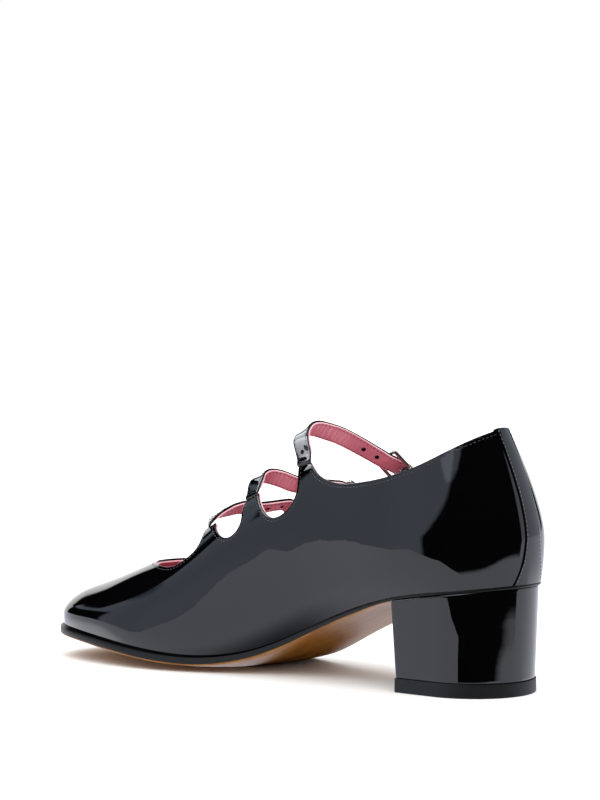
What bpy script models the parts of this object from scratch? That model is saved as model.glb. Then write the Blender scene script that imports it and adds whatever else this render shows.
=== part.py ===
"""A three-strap pump with a block heel, right foot, standing on its sole.

Built in millimetres and placed in metres. +X points to the toe, +Y to the
inner (medial) side of the foot, -Y to the outer (lateral) side with the
buckles, and Z is up from the floor.
"""

import math

import bmesh
import bpy
import numpy as np

MM = 0.001
LENGTH = 242.0  # heel to toe of the last, along the foot
CENTRE = (121.86, 0.05)  # middle of the finished shoe, moved onto the origin
GAP = 0.3  # between neighbouring pieces
WALL = 1.8  # outer leather and lining together

# Sections of the last, a row for each station from heel to toe.
# s: along the foot. axis: middle of the sole line. medial, lateral: height of
# the two edges of the sole line. half: half width there. bulge, bulge_h: widest
# half width and its height over the sole line. shoulder, crown: fractions of
# bulge and of the ridge height. ridge: height of the top line over the sole
# line, ridge_y: how far it leans to the medial side. dish: how far the middle
# of the bottom hangs below its edges.
LAST_COLUMNS = (
    "s axis medial lateral half bulge bulge_h shoulder shoulder_h"
    " crown crown_h ridge ridge_y dish"
).split()
LAST_ROWS = np.array([
    [0, 0.0, 45.5, 45.5, 27.0, 28.6, 22, 0.72, 0.60, 0.34, 0.98, 88, 0, 0.0],
    [25, 0.0, 42.6, 43.6, 27.0, 30.4, 21, 0.80, 0.60, 0.44, 0.98, 92, 0, 0.0],
    [50, -0.5, 39.0, 38.4, 25.8, 31.0, 20, 0.87, 0.60, 0.54, 0.98, 93, 1, 0.2],
    [75, -2.5, 32.0, 29.0, 24.0, 30.5, 19, 0.88, 0.58, 0.54, 0.97, 91, 3, 0.6],
    [100, -5.0, 22.0, 18.2, 23.5, 31.5, 18, 0.86, 0.56, 0.50, 0.96, 88, 6, 1.0],
    [125, -5.0, 11.2, 7.0, 27.0, 34.0, 16, 0.85, 0.56, 0.46, 0.95, 79, 7, 1.6],
    [150, -3.0, 6.4, 3.8, 34.0, 38.0, 13, 0.84, 0.58, 0.42, 0.94, 66, 5, 2.2],
    [175, 0.6, 7.6, 5.2, 37.0, 39.5, 11, 0.85, 0.58, 0.42, 0.92, 47, 3, 2.8],
    [200, 3.0, 10.5, 7.7, 34.5, 36.5, 10, 0.88, 0.60, 0.48, 0.93, 32.9, 1, 2.6],
    [220, 4.5, 12.8, 10.3, 31.0, 32.6, 9, 0.90, 0.62, 0.50, 0.95, 24.5, 0, 2.0],
    [242, 5.5, 15.0, 15.0, 29.0, 29.0, 8, 0.92, 0.66, 0.55, 0.98, 20.0, 0, 1.0],
])
HEEL_ROUND, TOE_ROUND, TOE_TOP_ROUND = 26.0, 24.0, 26.0  # reach of the end rounds
# curve of the heel's back: lean above its fullest height, tuck below, reach
BACK_LEAN, BACK_TUCK, BACK_WAIST, BACK_FADE = 0.050, 0.004, 18.0, 48.0

# Side views of the edge of the upper, from the back of the collar to the throat.
MEDIAL_EDGE = [  # x, z
    (-20, 107.8), (14.0, 107.5), (18.4, 104.8), (27.7, 99.3), (39.4, 92.8),
    (53.9, 87.6), (66, 85.1), (78, 83.8), (86.0, 84.4), (93.2, 86.8), (98.0, 90.4),
    (100.6, 95.0), (106.2, 94.4), (106.0, 88.4), (104.1, 80.5), (106.7, 73.2),
    (111.2, 69.2), (116.0, 67.7), (121.0, 69.2), (125.6, 73.2), (128.6, 79.2),
    (136.6, 77.6), (136.7, 71.0), (134.7, 65.4), (136.6, 60.2), (141.0, 57.9),
    (147.6, 59.6), (153.4, 64.4), (161.6, 60.2),
    (157.6, 56.0), (158.2, 51.8), (162.6, 47.4), (168.6, 44.2), (176.5, 43.6),
    (184.0, 44.0), (191.0, 44.2), (199.0, 43.8),
]
MEDIAL_CORNERS = (1, 11, 12, 20, 21, 27, 28, 34)  # points of the edge left sharp
LATERAL_EDGE = [
    (-20, 107.8), (14.0, 107.5), (18.4, 104.8), (27, 98.6), (37, 91.4), (48, 85.4),
    (60, 81.0), (68, 78.8), (74.6, 79.4), (77.8, 81.8), (78.7, 85.0),
    (88.1, 83.0), (86.8, 75.4), (87.2, 68.0), (91.0, 63.6), (95.5, 62.0),
    (100.5, 63.6), (103.4, 67.0), (103.8, 72.4), (113.2, 69.4), (112.4, 64.0),
    (113.8, 58.4), (118.5, 54.6), (123.5, 53.6), (128.5, 55.6), (130.8, 59.4),
    (131.2, 64.0), (141.0, 60.5), (141.2, 54.4), (144.0, 49.4), (149.5, 46.0),
    (158.0, 44.0), (170.0, 43.4), (176.5, 43.6), (184.0, 44.0), (191.0, 44.2), (199.0, 43.8),
]
LATERAL_CORNERS = (1, 10, 11, 18, 19, 26, 27, 34)
COLLAR_TOP = 112.0  # nothing is made above this
MEET_Y = 6.0  # the two side views meet here, under the ends of the straps

# Straps: centre line, outer face, and tilt of the band's width in degrees. Each
# starts at its sewn end on the medial tab and runs into its buckle.
STRAP_WIDTH, STRAP_THICK = 8.0, 2.0
STRAP_SEWN = {  # x, z, tilt, off the wall, on the medial tab
    1: [(102.6, 90.6, 8, 1.5), (103.2, 94.6, 10, 1.5)],
    2: [(133.0, 75.4, 12, 1.5), (133.4, 78.0, 14, 1.5)],
    3: [(157.8, 61.2, 37, 1.5)],
}
STRAP_PATHS = {  # x, y, z, tilt, from the medial side over the instep
    1: [(105.3, 16.8, 98.8, 8), (106.9, 15.7, 102.2, 12), (107.0, 12.4, 104.2, 26),
        (105.8, 8.0, 105.2, 42), (103.2, 1.6, 103.9, 52), (99.6, -5.6, 101.0, 52)],
    2: [(133.9, 12.6, 80.6, 14), (134.0, 9.8, 82.9, 22), (132.3, 6.0, 83.9, 40),
        (128.2, 0.2, 82.2, 50), (124.0, -5.6, 79.8, 48)],
    3: [(155.9, 13.4, 65.1, 37), (153.8, 9.6, 67.2, 37), (152.0, 5.0, 68.6, 37),
        (149.8, 0.2, 69.2, 37), (146.8, -5.0, 68.7, 35)],
}
# Buckles: x and z of the hinge bar, outside the lateral tab; the direction in
# which the strap comes over the instep from it, and the tilt of the strap there.
BUCKLES = {
    1: dict(x=84.3, z=83.5, toward=(0.46, 0.79, 0.41), tilt=38),
    2: dict(x=108.4, z=69.4, toward=(0.46, 0.78, 0.42), tilt=38),
    3: dict(x=136.0, z=60.6, toward=(0.42, 0.82, 0.38), tilt=30),
}
STRAP_TAIL = 17.0  # free end of a strap, below the hinge bar
BUCKLE_LENGTH, BUCKLE_HALF, BUCKLE_CORNER = 10.4, 5.3, 1.6
FRAME_WIRE, PRONG_WIRE = 0.8, 0.6  # radii
TAB_THICK, TAB_WIDTH, TAB_LENGTH = 2.0, 6.6, 9.0  # folded leather round the hinge
HINGE_REACH = FRAME_WIRE + GAP + 1.0  # hinge bar's middle to the tab's outer face
HINGE_OFF = HINGE_REACH + GAP + 0.1  # hinge bar from the wall

# Sole: thickness and how far its edge stands out from the upper, along the foot.
SOLE_ROWS = np.array([  # s, thickness, edge
    [0, 0.9, 0.0], [25, 0.8, 0.1], [50, 0.9, 0.2], [75, 2.2, 0.4], [100, 2.6, 0.4],
    [125, 2.9, 0.8], [150, 3.2, 1.4], [175, 3.3, 1.7], [200, 3.2, 1.7],
    [220, 3.1, 1.7], [242, 3.0, 1.7],
])
INSOLE_THICK = 2.4
HEEL_TOP = dict(back=2.3, breast=52.6, half=26.6)
HEEL_FOOT = dict(back=3.9, breast=50.6, half=26.0)
LIFT_HEIGHT, LIFT_EDGE = 5.8, 0.4


def spline(xs, ys, x):
    """Natural cubic spline through the rows (xs, ys), read at x."""
    xs, ys, x = (np.asarray(a, float) for a in (xs, ys, x))
    step = np.diff(xs)
    matrix, right = np.eye(len(xs)), np.zeros(len(xs))
    for i in range(1, len(xs) - 1):
        matrix[i, i - 1:i + 2] = step[i - 1], 2 * (step[i - 1] + step[i]), step[i]
        right[i] = 6 * ((ys[i + 1] - ys[i]) / step[i] - (ys[i] - ys[i - 1]) / step[i - 1])
    bend = np.linalg.solve(matrix, right)
    i = np.clip(np.searchsorted(xs, x) - 1, 0, len(xs) - 2)
    a, b = (xs[i + 1] - x) / step[i], (x - xs[i]) / step[i]
    return (a * ys[i] + b * ys[i + 1]
            + ((a**3 - a) * bend[i] + (b**3 - b) * bend[i + 1]) * step[i]**2 / 6)


def last_column(name, s):
    return spline(LAST_ROWS[:, 0], LAST_ROWS[:, LAST_COLUMNS.index(name)], s)


def blend_weights(v, count=11, degree=3):
    """Weights of `count` control points of a clamped uniform B-spline, v from -1 to 1."""
    t = np.clip((np.asarray(v, float) + 1) / 2, 0, 1 - 1e-12)
    knots = np.concatenate([
        np.zeros(degree), np.linspace(0, 1, count - degree + 1), np.ones(degree)])
    weights = [((a <= t) & (t < b)).astype(float) for a, b in zip(knots, knots[1:])]
    for d in range(1, degree + 1):
        raised = []
        for i in range(len(knots) - 1 - d):
            left = knots[i + d] - knots[i]
            right = knots[i + d + 1] - knots[i + 1]
            first = (t - knots[i]) / left * weights[i] if left else 0
            second = (knots[i + d + 1] - t) / right * weights[i + 1] if right else 0
            raised.append(first + second)
        weights = raised
    return np.stack(weights, -1)


def end_round(distance, reach):
    """0 at the end of the foot, rising as a round nose to 1 over about `reach`."""
    return np.sqrt(np.maximum(1 - np.exp(-2 * distance / reach), 0))


def last(s, v):
    """Outer face of the upper at station s. v is 1 at the medial sole line, 0 on
    the ridge and -1 at the lateral sole line."""
    s, v = np.broadcast_arrays(np.asarray(s, float), np.asarray(v, float))
    shape, s, v = s.shape, s.ravel(), v.ravel()
    c = {name: last_column(name, s) for name in LAST_COLUMNS[1:]}
    ends = end_round(s, HEEL_ROUND) * end_round(LENGTH - s, TOE_ROUND)
    top = end_round(LENGTH - s, TOE_TOP_ROUND)
    half, bulge, ridge = c["half"] * ends, c["bulge"] * ends, c["ridge"] * top
    bulge_h, crown_h = c["bulge_h"] * top, c["crown_h"] * ridge
    out = [half, half + 0.8 * (bulge - half), 1.02 * bulge, c["shoulder"] * bulge,
           c["crown"] * bulge]
    up = [0 * s, 0.45 * bulge_h, 1.1 * bulge_h, c["shoulder_h"] * ridge, crown_h]
    lean = c["ridge_y"] * ends
    share = [0, 0, 0.1, 0.5, 0.9]
    ys = ([lean * k - y for y, k in zip(out, share)] + [lean]
          + [lean * k + y for y, k in zip(out[::-1], share[::-1])])
    zs = up + [(3 * ridge - crown_h) / 2] + up[::-1]
    weights = blend_weights(v)
    y = sum(weights[:, i] * ys[i] for i in range(11))
    h = sum(weights[:, i] * zs[i] for i in range(11))
    curve = (BACK_LEAN * np.maximum(h - BACK_WAIST, 0)**1.5
             + BACK_TUCK * np.maximum(BACK_WAIST - h, 0)**2)
    x = s + curve * np.exp(-(s / BACK_FADE)**2)
    level = (c["medial"] + c["lateral"]) / 2
    tilt = (c["medial"] - c["lateral"]) / 2 * y / c["half"] * np.exp(-h / 12)
    return np.stack([x, c["axis"] + y, level + tilt + h], -1).reshape(shape + (3,))


def bed(x, y):
    """Height of the bottom of the last over a point of the plan."""
    s = np.clip(x, 0, LENGTH)
    across = np.clip((y - last_column("axis", s)) / last_column("half", s), -1.1, 1.1)
    medial, lateral = last_column("medial", s), last_column("lateral", s)
    return ((medial + lateral) / 2 + (medial - lateral) / 2 * across
            - last_column("dish", s) * (1 - across**2))


def end_spaced(count, low, high):
    """`count` values from low to high, closer together at both ends."""
    return low + (high - low) * (1 - np.cos(np.linspace(0, np.pi, count))) / 2


def plan_outline(count, grow):
    """Medial and lateral edge of the sole line in plan, moved outward by `grow`
    (a number, or a function of s). Each is an array of (x, y) from heel to toe."""
    s = end_spaced(count, 0, LENGTH)
    lean = last(s, 1 + 0 * s)[:, 0]
    half = (last_column("half", s) * end_round(s, HEEL_ROUND)
            * end_round(LENGTH - s, TOE_ROUND))
    axis = last_column("axis", s)
    loop = np.concatenate([
        np.stack([lean, axis + half], -1), np.stack([lean, axis - half], -1)[-2:0:-1]])
    ahead, behind = np.roll(loop, -1, 0), np.roll(loop, 1, 0)
    along = ahead - behind
    normal = np.stack([-along[:, 1], along[:, 0]], -1)
    normal /= np.linalg.norm(normal, axis=1)[:, None]
    stations = np.concatenate([s, s[-2:0:-1]])
    width = grow(stations) if callable(grow) else grow + 0 * stations
    loop = loop + normal * width[:, None]
    return loop[:count], np.concatenate([loop[:1], loop[:count - 1:-1], loop[count - 1:count]])


# ---------------------------------------------------------------- mesh helpers


def new_object(name, points, faces, collection):
    """A mesh object from points in millimetres, welded, with its faces turned out."""
    mesh = bpy.data.meshes.new(name)
    placed = (np.asarray(points, float) - (CENTRE[0], CENTRE[1], 0)) * MM
    mesh.from_pydata(placed.tolist(), [], [[int(i) for i in face] for face in faces])
    work = bmesh.new()
    work.from_mesh(mesh)
    bmesh.ops.remove_doubles(work, verts=work.verts, dist=1e-6)
    bmesh.ops.dissolve_degenerate(work, edges=work.edges, dist=1e-6)
    bmesh.ops.recalc_face_normals(work, faces=work.faces)
    work.to_mesh(mesh)
    work.free()
    made = bpy.data.objects.new(name, mesh)
    collection.objects.link(made)
    return made


def grid_faces(rows, columns, wrap=False):
    """Quads of a grid of points, row by row. With wrap, the columns close on themselves."""
    across = columns if wrap else columns - 1
    return [
        [r * columns + c, r * columns + (c + 1) % columns,
         (r + 1) * columns + (c + 1) % columns, (r + 1) * columns + c]
        for r in range(rows - 1) for c in range(across)]


def tube(name, rings, collection, closed=False):
    """A solid through rings of points. Its ends are capped unless it is closed."""
    rings = np.asarray(rings, float)
    rows, columns = rings.shape[:2]
    faces = grid_faces(rows, columns, wrap=True)
    if closed:
        faces += [[(rows - 1) * columns + c, (rows - 1) * columns + (c + 1) % columns,
                   (c + 1) % columns, c] for c in range(columns)]
    else:
        faces += [list(range(columns)), [(rows - 1) * columns + c for c in range(columns)]]
    return new_object(name, rings.reshape(-1, 3), faces, collection)


def plate(name, medial, lateral, top, bottom, across, collection):
    """A slab between two edges in plan. top and bottom give heights from x and y."""
    shares = end_spaced(across, 0, 1)[:, None, None]
    plan = (medial + (lateral - medial) * shares).transpose(1, 0, 2)
    rows = len(medial)
    upper_face, lower_face = (
        np.concatenate([plan, height(plan[..., 0], plan[..., 1])[..., None]], -1)
        for height in (top, bottom))
    points = np.concatenate([upper_face.reshape(-1, 3), lower_face.reshape(-1, 3)])
    under = rows * across
    faces = grid_faces(rows, across)
    faces += [[i + under for i in face] for face in grid_faces(rows, across)]
    for r in range(rows - 1):
        for c in (0, across - 1):
            a, b = r * across + c, (r + 1) * across + c
            faces.append([a, b, b + under, a + under])
    return new_object(name, points, faces, collection)


def cut(target, cutter, operation="DIFFERENCE"):
    modifier = target.modifiers.new(cutter.name, "BOOLEAN")
    modifier.operation, modifier.solver, modifier.object = operation, "EXACT", cutter


def as_cutter(made):
    made.hide_render, made.display_type = True, "WIRE"
    return made


def smooth_path(points, step, corners=()):
    """Centripetal curve through the points, sampled about every `step`. It stays
    sharp at the points whose numbers are in corners."""
    points = np.asarray(points, float)
    ends = sorted({0, len(points) - 1, *corners})
    pieces = []
    for first, final in zip(ends, ends[1:]):
        part = points[first:final + 1]
        chord = np.linalg.norm(np.diff(part[:, :3], axis=0), axis=1)
        at = np.concatenate([[0], np.cumsum(np.sqrt(chord))])
        length = chord.sum()
        t = np.linspace(0, at[-1], max(2, int(round(length / step)) + 1))
        if len(part) == 2:
            run = part[0] + (part[1] - part[0]) * (t / at[-1])[:, None]
        else:
            run = np.stack([spline(at, part[:, k], t) for k in range(part.shape[1])], -1)
        pieces.append(run if final == ends[-1] else run[:-1])
    return np.concatenate(pieces)


def unit(vector):
    vector = np.asarray(vector, float)
    return vector / np.linalg.norm(vector, axis=-1, keepdims=True)


# ---------------------------------------------------------------------- pieces


def make_upper(parts, cutters):
    """One hollow wall round the last, open under the foot and cut to its edges."""
    s = end_spaced(46, 0, LENGTH - 0.3)
    v = np.linspace(1, -1, 27)
    grid = last(s[:, None], v[None, :])
    rows, columns = grid.shape[:2]
    height = grid[..., 2].ravel()
    faces = [f for f in grid_faces(rows, columns) if height[f].min() < COLLAR_TOP]
    faces.append([(rows - 1) * columns + c for c in range(columns)])  # blunt toe end
    upper = new_object("upper", grid.reshape(-1, 3), faces, parts)
    wall = upper.modifiers.new("wall", "SOLIDIFY")
    wall.thickness, wall.offset, wall.use_even_offset = WALL * MM, -1, True
    for name, edge, corners, near, far in (
            ("lateral_opening", LATERAL_EDGE, LATERAL_CORNERS, MEET_Y, -70),
            ("medial_opening", MEDIAL_EDGE, MEDIAL_CORNERS, MEET_Y - 3, 70)):
        line = smooth_path(edge, 2.2, corners)
        front, back = line[-1], line[0]
        ring = np.concatenate([line, [(front[0] + 0.01, 190), (back[0], 190)]])
        rings = [[(x, y, z) for x, z in ring] for y in (near, far)]
        cut(upper, as_cutter(tube(name, rings, cutters)))
    return upper


def beside_wall(side, x, z, off):
    """A point `off` outside the wall at x and height z, on the medial side (1) or
    the lateral side (-1)."""
    v = side * np.linspace(1, 0.02, 400)
    wall = last(np.full(400, x), v)
    i = int(np.abs(wall[:int(wall[:, 2].argmax()), 2] - z).argmin())
    ahead, behind = last(x + 0.5, v[i]), last(x - 0.5, v[i])
    above, below = last(x, v[i] + 0.005), last(x, v[i] - 0.005)
    normal = unit(np.cross(ahead - behind, above - below))
    return wall[i] + normal * off * (side if normal[1] > 0 else -side)


def buckle_frame(number):
    """Where a buckle sits: the middle of its hinge bar and the directions across
    the frame, down the wall and out of the wall; then the middle of its front bar,
    and the strap's middle over the hinge bar and under the front bar."""
    at = BUCKLES[number]
    hinge = beside_wall(-1, at["x"], at["z"], HINGE_OFF)
    out = unit(beside_wall(-1, at["x"], at["z"], 2.0) - beside_wall(-1, at["x"], at["z"], 1.0))
    tilt = math.radians(at["tilt"])
    across = np.array([-math.cos(tilt), 0, math.sin(tilt)])
    across = unit(across - out * np.dot(across, out))
    down = np.cross(across, out)
    down = down if down[2] < 0 else -down
    toward = unit(at["toward"])
    toward = unit(toward - across * np.dot(toward, across))
    face = np.cross(across, toward)
    face = face if np.dot(face, out) > 0 else -face
    over = HINGE_REACH + GAP + STRAP_THICK / 2
    under = FRAME_WIRE + GAP + STRAP_THICK / 2
    step = math.sqrt(BUCKLE_LENGTH**2 - (over + under)**2)
    crossing = hinge + over * face
    front = crossing + step * toward + under * face
    return hinge, across, down, out, front, crossing, crossing + step * toward


def strap_line(number):
    """Centre line of a strap, with the direction of its width at each point and its
    outward direction. It runs under the buckle's front bar and over its hinge bar,
    and its free end lies down the wall."""
    hinge, across, down, out, front, crossing, entry = buckle_frame(number)
    half, tilt = STRAP_THICK / 2, BUCKLES[number]["tilt"]
    path = [[*beside_wall(1, px, pz, off), tilt_there]
            for px, pz, tilt_there, off in STRAP_SEWN[number]]
    path += [list(row) for row in STRAP_PATHS[number]]
    path += [[*(entry + 0.3 * (entry - crossing)), tilt], [*entry, tilt], [*crossing, tilt]]
    for drop, off in ((3.5, HINGE_OFF + HINGE_REACH + half + 0.1), (8.5, TAB_THICK + half + 1.6),
                      (STRAP_TAIL, half + 1.6)):
        place = hinge + down * drop
        path.append([*beside_wall(-1, place[0], place[2], off), tilt])
    line = smooth_path(path, 2.2)
    along = unit(np.gradient(line[:, :3], axis=0))
    tilt = np.radians(line[:, 3])
    width = np.stack([-np.cos(tilt), 0 * tilt, np.sin(tilt)], -1)
    width = unit(width - (width * along).sum(1)[:, None] * along)
    start = STRAP_SEWN[number][0]
    normal = beside_wall(1, *start[:2], 2.0) - beside_wall(1, *start[:2], 1.0)
    ease = np.clip(1.4 - np.arange(len(line)) / 5, 0, 1)[:, None]
    width = unit(width + (unit(np.cross(along, normal)) - width) * ease)
    beyond = np.linalg.norm(line[:, :3] - entry, axis=1).argmin() - 2
    ease = np.clip((np.arange(len(line)) - beyond) / 2, 0, 1)[:, None]
    level = across - (along @ across)[:, None] * along
    width = unit(width + (unit(level) - width) * ease)
    face = unit(np.cross(along, width))
    if face[len(face) // 2, 2] < 0:
        face = -face
    return line[:, :3], along, width, face


def band(line, width, face, wide, thick):
    """Rings of a band with its centre on the line."""
    corners = ((-1, -1), (1, -1), (1, 1), (-1, 1))
    return np.stack([line + width * (wide / 2 * a) + face * (thick / 2 * b)
                     for a, b in corners], 1)


def wire(name, path, radius, sides, parts, closed=False):
    """A round wire along a path of points that lies nearly in one plane."""
    path = np.asarray(path, float)
    if closed:
        along = unit(np.roll(path, -1, 0) - np.roll(path, 1, 0))
    else:
        along = unit(np.gradient(path, axis=0))
    flat = unit(np.linalg.svd(path - path.mean(0))[2][2])
    side = unit(np.cross(along, flat))
    turn = np.linspace(0, 2 * np.pi, sides, endpoint=False)[:, None, None]
    rings = path + radius * (np.cos(turn) * side + np.sin(turn) * flat)
    return tube(name, rings.transpose(1, 0, 2), parts, closed)


def make_strap(number, parts, cutters):
    line, along, width, face = strap_line(number)
    strap = tube(f"strap_{number}", band(line, width, face, STRAP_WIDTH, STRAP_THICK), parts)
    hole = wire(f"prong_hole_{number}", prong_path(number), PRONG_WIRE + GAP, 8, cutters)
    cut(strap, as_cutter(hole))
    return strap


def prong_path(number):
    """From a loop round the hinge bar, up through the strap and over the front bar."""
    hinge, across, down, out, front, crossing, entry = buckle_frame(number)
    ahead = unit(front - hinge)
    lift = np.cross(across, ahead)
    lift = lift if np.dot(lift, out) > 0 else -lift
    ring = FRAME_WIRE + 0.2 + PRONG_WIRE
    turn = np.radians(np.linspace(-205, 60, 11))[:, None]
    loop = hinge + ring * (np.cos(turn) * ahead + np.sin(turn) * lift)
    rest = FRAME_WIRE + 0.2 + PRONG_WIRE
    reach = [hinge + ahead * (BUCKLE_LENGTH * share) + lift * height
             for share, height in ((0.22, 1.75), (0.45, 1.85), (0.75, 1.75), (1.0, rest),
                                   (1.12, rest - 0.2))]
    return np.concatenate([loop, reach])


def make_buckle(number, parts, cutters):
    """A wire frame, its prong, and the folded tab that holds it to the upper."""
    hinge, across, down, out, front, crossing, entry = buckle_frame(number)
    ahead = unit(front - hinge)
    wide, corner = BUCKLE_HALF - BUCKLE_CORNER, BUCKLE_CORNER
    path = []
    for quarter, (side, reach) in enumerate((
            (1, BUCKLE_LENGTH - corner), (-1, BUCKLE_LENGTH - corner),
            (-1, corner), (1, corner))):
        for turn in np.radians(np.linspace(0, 90, 4) + 90 * quarter):
            path.append(hinge + ahead * (reach + corner * math.sin(turn))
                        + across * (side * wide + corner * math.cos(turn)))
    frame = wire(f"buckle_{number}", path, FRAME_WIRE, 10, parts, closed=True)
    prong = wire(f"prong_{number}", prong_path(number), PRONG_WIRE, 8, parts)

    # side view of the tab: round the hinge bar, then a tongue down the wall
    turn = np.radians(np.linspace(270, -3, 13))
    profile = [(HINGE_REACH * math.cos(t), HINGE_REACH * math.sin(t)) for t in turn]
    profile += [(TAB_LENGTH, TAB_THICK - HINGE_REACH), (TAB_LENGTH, -HINGE_REACH)]
    rings = [[hinge + down * a + out * n + across * side for a, n in profile]
             for side in (-TAB_WIDTH / 2, TAB_WIDTH / 2)]
    tab = tube(f"buckle_tab_{number}", rings, parts)
    turn = np.linspace(0, 2 * np.pi, 12, endpoint=False)[:, None]
    ring = hinge + (FRAME_WIRE + GAP) * (np.cos(turn) * out + np.sin(turn) * down)
    cut(tab, as_cutter(tube(f"hinge_bore_{number}", [ring - 8 * across, ring + 8 * across],
                            cutters)))
    slot = [[hinge + down * a + out * n + across * side
             for a, n in ((-4, -4), (2.7, -4), (2.7, 4), (-4, 4))]
            for side in (-PRONG_WIRE - GAP, PRONG_WIRE + GAP)]
    cut(tab, as_cutter(tube(f"prong_slot_{number}", slot, cutters)))
    return frame, prong, tab


def make_insole(parts):
    medial, lateral = plan_outline(38, -(WALL + GAP + 0.2))
    return plate("insole", medial, lateral,
                 lambda x, y: bed(x, y) + INSOLE_THICK, lambda x, y: bed(x, y), 7, parts)


def sole_at(s, column):
    return np.interp(s, SOLE_ROWS[:, 0], SOLE_ROWS[:, column])


def sole_bottom(x, y):
    """Underside of the sole, flat on the floor where the ball of the foot treads."""
    return np.maximum(bed(x, y) - GAP - sole_at(np.clip(x, 0, LENGTH), 1), 0)


def make_outsole(parts):
    medial, lateral = plan_outline(44, lambda s: sole_at(s, 2))
    return plate("outsole", medial, lateral,
                 lambda x, y: bed(x, y) - GAP, sole_bottom, 9, parts)


def heel_plan(back, breast, half, count=40):
    """Plan of the heel, a D with its flat side at the breast and rounded corners."""
    reach = half * 1.02
    turn = np.linspace(0, np.pi, count)
    curve = np.stack([back + reach - reach * np.sin(turn), half * np.cos(turn)], -1)
    corner = [(breast - 1.5 + 1.5 * math.sin(a), half - 1.5 - 0.4 + 1.5 * math.cos(a))
              for a in np.radians((90, 60, 30, 0))]
    side = np.array(corner)
    return np.concatenate([side, curve, side[::-1] * (1, -1)])


def make_heel(parts):
    top, foot = heel_plan(**HEEL_TOP), heel_plan(**HEEL_FOOT)
    bottom = LIFT_HEIGHT + GAP
    rings = []
    for share in (0.0, 0.33, 0.66, 1.0):
        plan = foot + (top - foot) * share
        ceiling = sole_bottom(plan[:, 0], plan[:, 1]) - GAP
        height = bottom + (ceiling - bottom) * share
        rings.append(np.column_stack([plan, height]))
    heel = tube("heel_block", rings, parts)
    grown = heel_plan(HEEL_FOOT["back"] - LIFT_EDGE, HEEL_FOOT["breast"] + LIFT_EDGE,
                      HEEL_FOOT["half"] + LIFT_EDGE)
    lift = tube("heel_lift", [np.column_stack([grown, 0 * grown[:, 0] + z])
                              for z in (0, LIFT_HEIGHT)], parts)
    return heel, lift


def material(made, colour, rough, metal=0.0, coat=0.0):
    made_of = bpy.data.materials.new(made.name)
    made_of.use_nodes = True
    shader = made_of.node_tree.nodes["Principled BSDF"]
    for socket, value in (("Base Color", (*colour, 1)), ("Roughness", rough),
                          ("Metallic", metal), ("Coat Weight", coat)):
        shader.inputs[socket].default_value = value
    made.data.materials.append(made_of)


def main():
    for made in list(bpy.data.objects):
        bpy.data.objects.remove(made)
    parts, cutters = (bpy.data.collections.new(n) for n in ("shoe", "cutters"))
    for collection in (parts, cutters):
        bpy.context.scene.collection.children.link(collection)
    material(make_upper(parts, cutters), (0.01, 0.01, 0.012), 0.1, coat=1.0)
    for number in STRAP_PATHS:
        material(make_strap(number, parts, cutters), (0.01, 0.01, 0.012), 0.1, coat=1.0)
        frame, prong, tab = make_buckle(number, parts, cutters)
        for metal in (frame, prong):
            material(metal, (0.30, 0.29, 0.29), 0.25, metal=1.0)
        material(tab, (0.01, 0.01, 0.012), 0.1, coat=1.0)
    material(make_insole(parts), (0.55, 0.10, 0.16), 0.5)
    material(make_outsole(parts), (0.36, 0.16, 0.05), 0.4)
    heel, lift = make_heel(parts)
    material(heel, (0.01, 0.01, 0.012), 0.1, coat=1.0)
    material(lift, (0.02, 0.02, 0.02), 0.7)


main()
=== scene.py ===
# %% [markdown]
# # A three-strap pump with a block heel
#
# This is a black patent shoe for the right foot, made piece by piece in the
# order of the workshop: the upper with its lining, the strip up the back, the
# sole, the covered heel, and three buckled straps. The solid parts arrive from
# CAD as a fixed frame. Every piece here lies where the frame says, and the main
# ones each stand for the solid that they were made from.

import math

import bmesh
import bpy
import numpy as np
from mathutils import Matrix


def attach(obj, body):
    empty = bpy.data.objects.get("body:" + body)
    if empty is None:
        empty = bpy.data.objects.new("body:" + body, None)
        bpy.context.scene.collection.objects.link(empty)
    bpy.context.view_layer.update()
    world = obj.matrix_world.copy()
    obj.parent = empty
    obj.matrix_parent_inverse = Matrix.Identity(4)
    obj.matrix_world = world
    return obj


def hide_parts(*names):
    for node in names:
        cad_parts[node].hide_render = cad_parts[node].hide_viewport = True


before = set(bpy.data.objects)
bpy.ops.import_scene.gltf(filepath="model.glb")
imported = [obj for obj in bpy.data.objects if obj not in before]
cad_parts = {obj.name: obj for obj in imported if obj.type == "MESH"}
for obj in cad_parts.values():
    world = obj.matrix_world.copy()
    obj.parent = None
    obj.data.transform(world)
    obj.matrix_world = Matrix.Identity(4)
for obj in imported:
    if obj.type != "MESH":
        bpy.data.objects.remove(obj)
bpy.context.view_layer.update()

# %% [markdown]
# ## Units and colours
#
# Shoemakers work in millimetres, and Blender in metres. The sizes below are in
# millimetres on the last, the wooden foot that a shoe is built round, and one
# function moves them into the frame. Colours are written as they look on a
# screen, and a second function turns them into the linear values that light is
# reckoned in.

# %% Units and colours
MM = 0.001
CENTRE = np.array([121.86, 0.05, 0.0])  # the middle of the shoe, in last millimetres


def metres(points):
    """(p - CENTRE) / 1000: from last millimetres to the frame."""
    return (np.asarray(points, float) - CENTRE) * MM


def colour(text):
    """Linear RGBA of an sRGB hex colour: c / 12.92 below 0.04045, and
    ((c + 0.055) / 1.055)^2.4 above it."""
    part = np.array([int(text[i:i + 2], 16) for i in (1, 3, 5)]) / 255
    linear = np.where(part <= 0.04045, part / 12.92, ((part + 0.055) / 1.055)**2.4)
    return (*linear.tolist(), 1.0)


def unit(vector):
    """Vectors of length 1, along the last axis."""
    vector = np.asarray(vector, float)
    return vector / np.maximum(np.linalg.norm(vector, axis=-1, keepdims=True), 1e-12)


def square_to(vector, axis):
    """The part of a vector at right angles to a unit axis, made a unit vector."""
    return unit(vector - (vector * axis).sum(-1, keepdims=True) * axis)


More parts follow.
